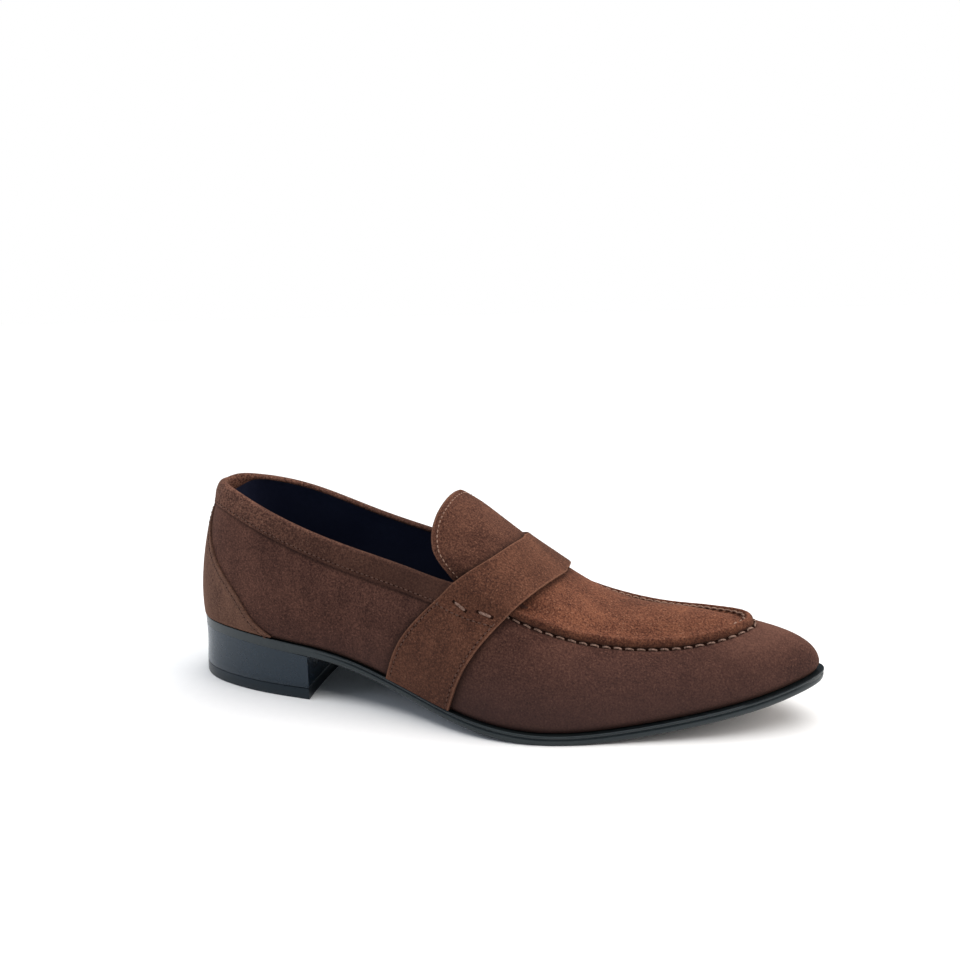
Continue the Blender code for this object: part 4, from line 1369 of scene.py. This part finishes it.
@dataclass
class Collar:
    """Binding folded over the collar, and the counter's overlay at the back."""

    shop: Workshop
    wall: float = 2.0
    gap: float = 0.15
    binding: float = 0.75
    depth: float = 9.8
    inner_depth: float = 0.4
    inner_back: float = 3.2
    roll: float = 1.3
    roll_back: float = 1.9
    lift_back: float = 1.1
    puff_back: float = 0.75
    end: float = 5.95
    deep_from: tuple[float, float] = (1.7, 0.3)      # sections between which the inner flap deepens,
    padded_from: tuple[float, float] = (2.0, 0.6)    # the roll is padded
    thin_from: tuple[float, float] = (5.4, 5.85)     # and the binding thins under the strap
    thinned: float = 0.55
    skived: float = 0.45
    skived_from: tuple[float, float] = (80.0, 90.0)  # height in percent of the collar
    columns: int = 22
    fold_steps: int = 15
    # Flaps of the binding, from edge to fold outside and on from the fold inside: share of the depth, share of the
    # thickness, and outside the share of the puff at the back.
    outside: Table = (
        (1.0, 0.15, 0.0), (1.0, 0.6, 0.0), (0.992, 0.92, 0.0), (0.97, 1.0, 0.0), (0.93, 0.97, 0.0), (0.86, 0.9, 0.05),
        (0.76, 0.97, 0.2), (0.6, 1.0, 0.5), (0.45, 1.02, 0.8), (0.3, 1.05, 1.0), (0.15, 1.08, 1.0), (0.0, 1.1, 0.9))
    inside: Table = ((0.0, 1.0), (0.3, 1.0), (0.6, 1.0), (0.9, 0.95), (1.0, 0.85))
    counter: float = 0.9
    counter_rows: int = 60
    counter_columns: int = 56
    counter_low: float = 0.004
    counter_back: float = 0.05
    # Height in percent of the collar, and the section of the counter's front edge.
    counter_line: Table = (
        (29.5, 3.03), (34, 2.82), (47, 2.47), (61, 1.95), (72, 1.48), (87, 0.95), (96, 0.72))

    def __post_init__(self) -> None:
        """Makes the curve of the counter's edge."""
        self.counter_front = table_curve(self.counter_line)

    def counter_face(self, height: Array) -> Array:
        """Height of the counter over the last, thinned where it runs under the binding."""
        return self.gap + self.counter * (1 - self.skived * ease(height, *self.skived_from))

    def bind(self) -> None:
        """Builds and dresses the binding."""
        last = self.shop.last
        places = last.stations(0, self.end, self.columns)
        deepest = (self.inner_depth + self.inner_back * ease(places, *self.deep_from))[:, None]
        padded = ease(places, *self.padded_from)[:, None]
        thin = 1 - self.thinned * ease(places, *self.thin_from)[:, None]
        swell, full = self.roll_back * padded, self.gap + self.binding
        deep, thick, puff = np.array(self.outside).T
        under, lie = np.array(self.inside).T
        face = thick * full * thin + self.puff_back * padded * puff
        back = -(self.wall + full)
        reach, centre = (face[:, -1:] - back) / 2, (face[:, -1:] + back) / 2
        high = self.roll + swell + self.lift_back * padded
        rings = []
        for side in Side:
            rim = last.collar_share(places, side)[:, None]
            mm = last.share_of_mm(places, rim[:, 0], side)[:, None]
            edge = rim - mm * swell
            top, out = last.surface(places, edge[:, 0], side), last.normal(places, edge[:, 0], side)
            up = unit(top - last.surface(places, edge[:, 0] - mm[:, 0], side))
            fold = [top + out * (centre + reach * np.cos(turn)) + up * high * np.sin(turn)
                    for turn in np.radians(np.linspace(0, 180, self.fold_steps)[1:-1])]
            outer, inner, inner_back, outer_back = (
                last.off(places[:, None], edge - mm * depths, side, offset) for depths, offset in (
                    (deep * (self.depth - swell), face), (deepest * under, lie * back),
                    (deepest * np.array([1.0, 0.5, 0.1]), -self.wall - 0.5 * self.gap),
                    (np.array([0.05, 0.5, 0.995]) * (self.depth - swell), 0.5 * self.gap)))
            rings.append(np.concatenate([outer, np.stack(fold, axis=1), inner, inner_back, outer_back], axis=1))
        self.shop.make("collar_binding_suede", Shape().tube(round_heel(rings)), Finish.BINDING, "suede_binding",
                       "collar_binding")

    def build(self) -> None:
        """Builds and dresses the binding and the counter."""
        self.bind()
        last = self.shop.last
        heights = np.linspace(self.counter_line[0][0], self.counter_line[-1][0], self.counter_rows)[:, None]
        sections = self.counter_front(heights) * np.linspace(0, 1, self.counter_columns)
        outer, inner = [], []
        for side in Side:
            shares = last.share_at_height(sections, heights * last.collar_height / 100, side)
            shares = np.maximum(shares, self.counter_low)
            for grids, level in ((outer, self.counter_face(heights)), (inner, self.counter_back + 0 * heights)):
                grids.append(last.off(sections, shares, side, level).swapaxes(0, 1))
        shape = Shape().shell(*(round_heel(grids).swapaxes(0, 1) for grids in (outer, inner)), crown=0.15)
        self.shop.make("counter_suede", shape, Finish.COUNTER, "suede_counter", "counter", cut=Finish.CUT)


@dataclass(frozen=True)
class Stitch:
    """Size of one kind of stitch, or of the dark disc painted as a hole's shade, in millimetres, with its tilt in
    degrees.
    """

    length: float
    thickness: float
    pitch: float
    arch: float = 0.25
    sink: float = 0.35
    tilt: float = 0.0
    spread: float = 0.06
    sides: int = 6
    flat: float = 1.0    # scale across the surface's thickness


@dataclass
class Stitching:
    """All sewn rows, laid by Geometry Nodes along lines, which are pairs of a point and the direction out there."""

    shop: Workshop
    seam: SeamLine
    strap: Strap
    tongue: Tongue
    collar: Collar
    seed: int = 7
    tongue_margin: float = 2.3
    counter_margin: float = 2.2
    binding_margin: float = 1.3
    # Distance in from the apron's edge and height over the last; the rope's sections on both sides.
    seam_row: tuple[float, float] = (-0.75, 0.15)
    rope_row: tuple[float, float, float, float] = (4.05, 1.5, 10.9, 7.2)
    tongue_from: float = 0.485
    wing_from: float = 0.02
    wing_rows: Table = ((0.055, 0.365), (0.945, 0.395))       # place across the strap, and share where the row ends
    cross_row: tuple[float, float, float] = (0.36, 0.03, 0.012)   # share of the way up, slope and sag
    cross_ends: tuple[float, float] = (0.07, 0.93)
    binding_end: float = 5.6
    counter_ends: tuple[float, float] = (31.0, 88.0)          # heights in percent of the collar
    bar: Stitch = Stitch(6.8, 1.25, 7.0, arch=0.3, sink=0.45, sides=8, spread=0.0)
    bar_hole: Stitch = Stitch(1.5, 1.5, 7.0, arch=0.0, sink=0.0, sides=8, spread=0.0, flat=0.4)
    # Place across the strap, share of the way up and slope of each bar.
    bar_places: Table = ((0.35, 0.399, -0.05), (0.73, 0.419, 0.03))
    seam_stitch: Stitch = Stitch(3.4, 0.9, 5.0, arch=0.45, sink=0.4, tilt=-6.0)
    rope_stitch: Stitch = Stitch(2.9, 1.0, 3.6, arch=0.4, sink=0.25, tilt=25.0)
    fine_stitch: Stitch = Stitch(1.35, 0.6, 2.35, arch=0.22, sink=0.3)
    tone_stitch: Stitch = Stitch(1.5, 0.55, 2.5, arch=0.2, sink=0.3)
    hole: Stitch = Stitch(1.3, 0.8, 5.0, arch=0.0, sink=0.0, spread=0.1, flat=0.55)
    fine_hole: Stitch = Stitch(0.7, 0.5, 2.5, arch=0.0, sink=0.0, spread=0.15, flat=0.5)

    def __post_init__(self) -> None:
        """Builds the tree that lays a row."""
        self.tree, self.inputs = self.row_tree()

    @staticmethod
    def row_tree() -> tuple[bpy.types.NodeTree, dict[str, str]]:
        """Builds the Geometry Nodes tree of a row of stitches along a line.

        Returns:
            The tree, and the identifier of each named input.
        """
        tree = bpy.data.node_groups.new("stitch_row", "GeometryNodeTree")
        tree.interface.new_socket("Geometry", in_out="OUTPUT", socket_type="NodeSocketGeometry")
        kinds = {"Geometry": "Geometry", "Count": "Int", "Length": "Float", "Thickness": "Float", "Arch": "Float",
                 "Sink": "Float", "Tilt": "Float", "Spread": "Float", "Sides": "Int", "Flatness": "Float",
                 "Seed": "Int", "Material": "Material"}
        made = {name: tree.interface.new_socket(name, in_out="INPUT", socket_type="NodeSocket" + kind)
                for name, kind in kinds.items()}
        add = partial(add_node, tree)
        given = add("NodeGroupInput").node.outputs
        line = add("GeometryNodeMeshToCurve", {"Mesh": given["Geometry"]})
        even = add("GeometryNodeResampleCurve", {"Curve": line, "Count": given["Count"]}, mode="COUNT")
        out, along = (add("GeometryNodeInputNamedAttribute", {"Name": name}, data_type="FLOAT_VECTOR")
                      for name in ("out", "along"))
        frame = add("FunctionNodeAxesToRotation", {"Primary Axis": along, "Secondary Axis": out}, primary_axis="X",
                    secondary_axis="Z")
        turn = add("ShaderNodeCombineXYZ", {"Z": given["Tilt"]})
        tilt = add("FunctionNodeEulerToRotation", {"Euler": turn})
        laid = add("FunctionNodeRotateRotation", {"Rotation": frame, "Rotate By": tilt}, rotation_space="LOCAL")
        least, most = (add("ShaderNodeMath", {0: 1.0, 1: given["Spread"]}, operation=way)
                       for way in ("SUBTRACT", "ADD"))
        size = add("FunctionNodeRandomValue", {"Min": least, "Max": most, "Seed": given["Seed"]}, data_type="FLOAT")
        half, minus, down, crest, radius = (
            add("ShaderNodeMath", {0: given[name], 1: times}, operation="MULTIPLY") for name, times in (
                ("Length", 0.5), ("Length", -0.5), ("Sink", -1.0), ("Arch", 2.0), ("Thickness", 0.5)))
        start, middle, end = (add("ShaderNodeCombineXYZ", ends) for ends in (
            {"X": minus, "Z": down}, {"Z": crest}, {"X": half, "Z": down}))
        arc = add("GeometryNodeCurveQuadraticBezier", {"Resolution": 5, "Start": start, "Middle": middle, "End": end})
        ring = add("GeometryNodeCurvePrimitiveCircle", {"Resolution": given["Sides"], "Radius": radius})
        cord = add("GeometryNodeCurveToMesh", {"Curve": arc, "Profile Curve": ring, "Fill Caps": True})
        press = add("ShaderNodeCombineXYZ", {"X": 1.0, "Y": 1.0, "Z": given["Flatness"]})
        pressed = add("GeometryNodeTransform", {"Geometry": cord, "Scale": press})
        row = add("GeometryNodeInstanceOnPoints", {"Points": even, "Instance": pressed, "Rotation": laid,
                                                   "Scale": size})
        smooth = add("GeometryNodeSetShadeSmooth", {"Geometry": row})
        real = add("GeometryNodeRealizeInstances", {"Geometry": smooth})
        dressed = add("GeometryNodeSetMaterial", {"Geometry": real, "Material": given["Material"]})
        add("NodeGroupOutput", {"Geometry": dressed})
        return tree, {name: one.identifier for name, one in made.items()}

    def rows(self, name: str, lines: Sequence[Array], counts: Sequence[int], stitch: Stitch, finish: Finish,
             slot: str | None = None) -> None:
        """Lays rows of one kind of stitch and dresses them as one piece.

        Args:
            name: Name of the piece.
            lines: The rows' lines, in millimetres of the shoe.
            counts: Stitches in each row.
            stitch: The stitch.
            finish: Its thread.
            slot: The record's material slot, if any.
        """
        joined = bmesh.new()
        for i, (line, count) in enumerate(zip(lines, counts)):
            mesh = bpy.data.meshes.new(name)
            mesh.from_pydata(self.shop.place.to_frame(line[:, 0]), [(j, j + 1) for j in range(len(line) - 1)], [])
            for key, vectors in (("out", line[:, 1]), ("along", unit(np.gradient(line[:, 0], axis=0)))):
                mesh.attributes.new(key, "FLOAT_VECTOR", "POINT").data.foreach_set("vector", vectors.ravel())
            work = put(name, mesh)
            laid = work.modifiers.new("stitches", "NODES")
            laid.node_group = self.tree
            values = {"Count": count, "Length": stitch.length * MM, "Thickness": stitch.thickness * MM,
                      "Arch": stitch.arch * MM, "Sink": stitch.sink * MM, "Tilt": float(np.radians(stitch.tilt)),
                      "Spread": stitch.spread, "Sides": stitch.sides, "Flatness": stitch.flat, "Seed": self.seed + i,
                      "Material": self.shop.material(finish)}
            for key, value in values.items():
                laid[self.inputs[key]] = value
            graph = bpy.context.evaluated_depsgraph_get()
            joined.from_mesh(bpy.data.meshes.new_from_object(work.evaluated_get(graph)))
            bpy.data.objects.remove(work, do_unlink=True)
        whole = bpy.data.meshes.new(name)
        joined.to_mesh(whole)
        joined.free()
        self.shop.dress(name, whole, finish, slot)

    def sew(self, name: str, lines: Sequence[Array], stitch: Stitch, finish: Finish, slot: str | None = None,
            hole: Stitch | None = None, gaps: Sequence[int] = ()) -> None:
        """Sews rows, with dark discs between their stitches, the needle holes' painted shade, if they show.

        Args:
            name: What is sewn.
            lines: The rows' lines.
            stitch: The stitch.
            finish: Its thread.
            slot: The record's material slot, if any.
            hole: Size of the dark disc painted as a needle hole's shade.
            gaps: Gaps between the stitches of each row; from the pitch when left out.
        """
        lengths = [running(line[:, 0])[-1] for line in lines]
        gaps = gaps or [int(round(length / stitch.pitch)) for length in lengths]
        self.rows(name + "_stitches", lines, [count + 1 for count in gaps], stitch, finish, slot)
        if not hole:
            return
        cut = []
        for line, length, count in zip(lines, lengths, gaps):
            trim = length / count / 2
            at = np.linspace(trim, length - trim, 4 * len(line))
            columns = [np.interp(at, running(line[:, 0]), column) for column in line.reshape(len(line), -1).T]
            between = np.stack(columns, -1).reshape(-1, 2, 3)
            between[:, 1] = unit(between[:, 1])
            cut.append(between)
        # Painted shade of the needle holes: dark discs between the stitches.
        self.rows(name + "_holes", cut, gaps, hole, Finish.HOLE)

    def on_last(self, section: Array, share: Array, side: Side, offset: float | Array) -> Array:
        """A line on one side, at an offset out of the last."""
        last = self.shop.last
        return np.stack([last.off(section, share, side, offset), last.normal(section, share, side)], 1)

    @staticmethod
    def inset(line: Array, inner: Array, margin: float) -> Array:
        """Points of a line moved by a margin towards an inner one, square to its run."""
        along, inward = unit(np.gradient(line, axis=0)), inner - line
        return line + unit(inward - along * np.sum(inward * along, axis=1, keepdims=True)) * margin

    def round_apron(self, inward: float, offset: float, lateral: float, medial: float) -> Array:
        """Finds a line beside the apron's sewn edge, round the toe.

        Args:
            inward: Distance in from the edge, below 0 outside it.
            offset: Height over the last.
            lateral: Section where it begins on the lateral side.
            medial: Section where it ends on the medial side.

        Returns:
            The line.
        """
        last, parts = self.shop.last, []
        for side, first in zip(Side, (lateral, medial)):
            places = np.linspace(first, last.toe, 300)
            edge = last.apron_share(places)
            share = edge + inward * last.share_of_mm(places, edge, side)
            parts.append(self.on_last(places, share, side, offset))
        return round_toe(parts)

    def sew_apron(self) -> None:
        """Sews the rim: dashes outside it with dark discs painted as their needle holes' shade, slanted stitches inside
        it.
        """
        seam = self.round_apron(*self.seam_row, self.seam.start, self.seam.start)
        self.sew("apron_seam", [seam], self.seam_stitch, Finish.SEAM_THREAD, hole=self.hole, gaps=[self.seam.stitches])
        rope = self.round_apron(*self.rope_row)
        self.sew("apron_rope", [rope], self.rope_stitch, Finish.FINE_THREAD)

    def sew_tongue(self) -> None:
        """Sews a fine row round the tongue's free edge."""
        last, tongue, parts = self.shop.last, self.tongue, []
        shares = np.linspace(self.tongue_from, 1.0, 200)
        for side in Side:
            edge = tongue.end(shares, side)
            rim, ahead = (last.off(place, shares, side, tongue.level(shares, place, side) + tongue.thickness)
                          for place in (edge, edge + 0.05))
            row = self.inset(rim, ahead, self.tongue_margin)
            parts.append(np.stack([row, last.normal(edge, shares, side)], 1))
        self.sew("tongue", [round_toe(parts)], self.fine_stitch, Finish.FINE_THREAD, "suede_tongue")

    def on_strap(self, share: Array, over: Array, side: Side) -> Array:
        """A line on the strap's outside."""
        strap = self.strap
        return self.on_last(strap.section(share, over, side), share, side, strap.level(share, over) + strap.thickness)

    def sew_strap(self) -> None:
        """Sews the wings down along both edges, the dotted row across them and the two bars above it."""
        wings, cross, bars, ends, middle = [], [], [], [], 10
        level, slope, sag = self.cross_row
        for side in Side:
            for over, top in self.wing_rows:
                shares = np.linspace(self.wing_from, top, 120)
                wings.append(self.on_strap(shares, np.full_like(shares, over), side))
            over = np.linspace(*self.cross_ends, 60)
            cross.append(self.on_strap(level + slope * over - sag * np.sin(np.pi * over), over, side))
            for centre, share, lean in self.bar_places:
                over = np.linspace(centre - 0.1, centre + 0.1, 2 * middle + 1)
                bars.append(self.on_strap(share + lean * (over - centre), over, side))
        for name, lines in (("strap_wing", wings), ("strap_cross", cross)):
            self.sew(name, lines, self.tone_stitch, Finish.TONE_THREAD, "suede_strap", self.fine_hole)
        self.rows("strap_bars", [bar[middle:] for bar in bars], [1] * len(bars), self.bar, Finish.SEAM_THREAD)
        for bar in bars:
            run, (centre, out) = unit(bar[-1, 0] - bar[0, 0]), bar[middle]
            for way in (-1, 1):
                at = centre + run * way * self.bar.length * 0.47
                ends.append(np.array([[at, out], [at + run, out]]))
        # Painted shade of the bars' needle holes: dark discs at both ends.
        self.rows("strap_bar_holes", ends, [1] * len(ends), self.bar_hole, Finish.HOLE)

    def sew_collar(self) -> None:
        """Sews the binding's lower edge and the counter's front edge."""
        last, collar, row, edges = self.shop.last, self.collar, [], []
        places, heights = np.linspace(0.0, self.binding_end, 240), np.linspace(*self.counter_ends, 120)
        section, face = collar.counter_front(heights), collar.counter_face(heights)
        for side in Side:
            rim = last.collar_share(places, side)
            share = rim - (collar.depth - self.binding_margin) * last.share_of_mm(places, rim, side)
            row.append(self.on_last(places, share, side, collar.gap + collar.binding - 0.1))
            share = last.share_at_height(section, heights * last.collar_height / 100, side)
            edge = self.on_last(section, share, side, face)
            edge[:, 0] = self.inset(edge[:, 0], last.off(section - 0.05, share, side, face), self.counter_margin)
            edges.append(edge)
        for name, lines in (("binding", [round_heel(row)]), ("counter", edges)):
            self.sew(name, lines, self.tone_stitch, Finish.TONE_THREAD, "suede_" + name, self.fine_hole)

    def build(self) -> None:
        """Sews every row."""
        for sew in (self.sew_apron, self.sew_tongue, self.sew_strap, self.sew_collar):
            sew()


def stand(right: Array, up: Array, back: Array, at: Sequence[float]) -> Matrix:
    """Matrix of an object with those axes at a place."""
    return Matrix([*np.column_stack([right, up, back, at]).tolist(), [0, 0, 0, 1]])


@dataclass(frozen=True)
class SoftBox:
    """A square soft light: where it hangs and points, its side in metres, its watts and its colour."""

    name: str
    at: tuple[float, float, float]
    to: tuple[float, float, float]
    size: float
    power: float
    colour: str

    def build(self) -> None:
        """Hangs the light."""
        data = bpy.data.lights.new(self.name, "AREA")
        data.size, data.energy, data.color = self.size, self.power, linear(self.colour)[:3]
        away = unit(np.array(self.at) - np.array(self.to))
        right = unit(np.cross([0.0, 1.0, 0.001], away))
        put(self.name, data).matrix_world = stand(right, np.cross(away, right), away, self.at)


@dataclass
class Studio:
    """Pale floor, soft light and the camera."""

    place: Place
    camera_at: tuple[float, float, float] = (247.0, -351.0, 178.8)
    yaw: float = 14.88
    pitch: float = 11.94
    roll: float = -1.34
    lens: float = 30.0
    sensor: float = 36.0
    floor_size: float = 60.0
    silk_power: float = 3.3
    silk_angle: float = 70.0
    silk_tilt: tuple[float, float, float] = (-8.0, 6.0, 0.0)
    silk_colour: str = "#fffefd"
    boxes: tuple[SoftBox, ...] = (
        SoftBox("heel_soft_box", (-1.1, -0.3, 0.45), (-0.1, 0.0, 0.05), 0.8, 4.0, "#e6eeff"),
        SoftBox("toe_soft_box", (1.2, 0.05, 0.6), (0.1, 0.0, 0.03), 0.8, 11.0, "#fff4ec"))
    fill_colour: str = "#d9e4f2"
    fill_strength: float = 0.22
    wall_colour: str = "#ffffff"

    def floor(self) -> None:
        """Lays the floor."""
        half = self.floor_size / 2
        mesh = bpy.data.meshes.new("studio_floor")
        mesh.from_pydata([(-half, -half, 0), (half, -half, 0), (half, half, 0), (-half, half, 0)], [], [(0, 1, 2, 3)])
        mesh.materials.append(PaintedBoard().material())
        put("studio_floor", mesh)

    def lights(self) -> None:
        """Hangs the silk overhead and the soft boxes, and lights the room, whose wall is plain to the camera."""
        silk = bpy.data.lights.new("overhead_silk", "SUN")
        silk.energy, silk.angle, silk.color = self.silk_power, float(np.radians(self.silk_angle)), linear(
            self.silk_colour)[:3]
        put("overhead_silk", silk).rotation_euler = np.radians(self.silk_tilt).tolist()
        for box in self.boxes:
            box.build()
        world = bpy.data.worlds.new("studio_room")
        world.use_nodes = True
        tree = world.node_tree
        fill = tree.nodes["Background"]
        feed(fill, {"Color": linear(self.fill_colour), "Strength": self.fill_strength})
        wall = add_node(tree, "ShaderNodeBackground", {"Color": linear(self.wall_colour), "Strength": 1.0})
        seen = add_node(tree, "ShaderNodeLightPath", give="Is Camera Ray")
        mixed = add_node(tree, "ShaderNodeMixShader", {0: seen, 1: fill.outputs["Background"], 2: wall})
        feed(tree.nodes["World Output"], {"Surface": mixed})
        bpy.context.scene.world = world

    def camera(self) -> None:
        """Sets the camera at the photograph's place and angle."""
        yaw, pitch, roll = np.radians([self.yaw, self.pitch, self.roll])
        forward = np.array([-np.sin(yaw) * np.cos(pitch), np.cos(yaw) * np.cos(pitch), -np.sin(pitch)])
        level = np.array([np.cos(yaw), np.sin(yaw), 0.0])
        rise = np.cross(level, forward)
        right = level * np.cos(roll) + rise * np.sin(roll)
        up = -level * np.sin(roll) + rise * np.cos(roll)
        data = bpy.data.cameras.new("photo_camera")
        data.lens, data.sensor_width, data.sensor_fit, data.clip_start = self.lens, self.sensor, "HORIZONTAL", 0.01
        made = put("photo_camera", data)
        made.matrix_world = stand(right, up, -forward, self.place.to_frame(self.camera_at))
        bpy.context.scene.camera = made

    def build(self) -> None:
        """Sets up floor, light and camera."""
        self.floor()
        self.lights()
        self.camera()
        bpy.context.scene.view_settings.view_transform = "Standard"


def main() -> None:
    """Builds the shoe around its frame, in the order it is made, and sets up the studio."""
    logging.basicConfig(level=logging.INFO, format="%(name)s %(message)s")
    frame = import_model()
    log.info("frame with %d nodes", len(frame["nodes"]))
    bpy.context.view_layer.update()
    last = Last()
    shop = Workshop(last, Place.from_outsole(last))
    log.info("shoe's place in the frame: %s", shop.place.offset)
    seam = SeamLine(last)
    strap, collar = Strap(shop), Collar(shop)
    apron = Apron(shop, seam, strap)
    tongue = Tongue(shop, apron, strap)
    stitching = Stitching(shop, seam, strap, tongue, collar)
    for part in (Sole(shop), Heel(shop), Upper(shop, seam, strap), apron, tongue, collar, strap, stitching,
                 Studio(shop.place)):
        part.build()


if __name__ == "__main__":
    main()
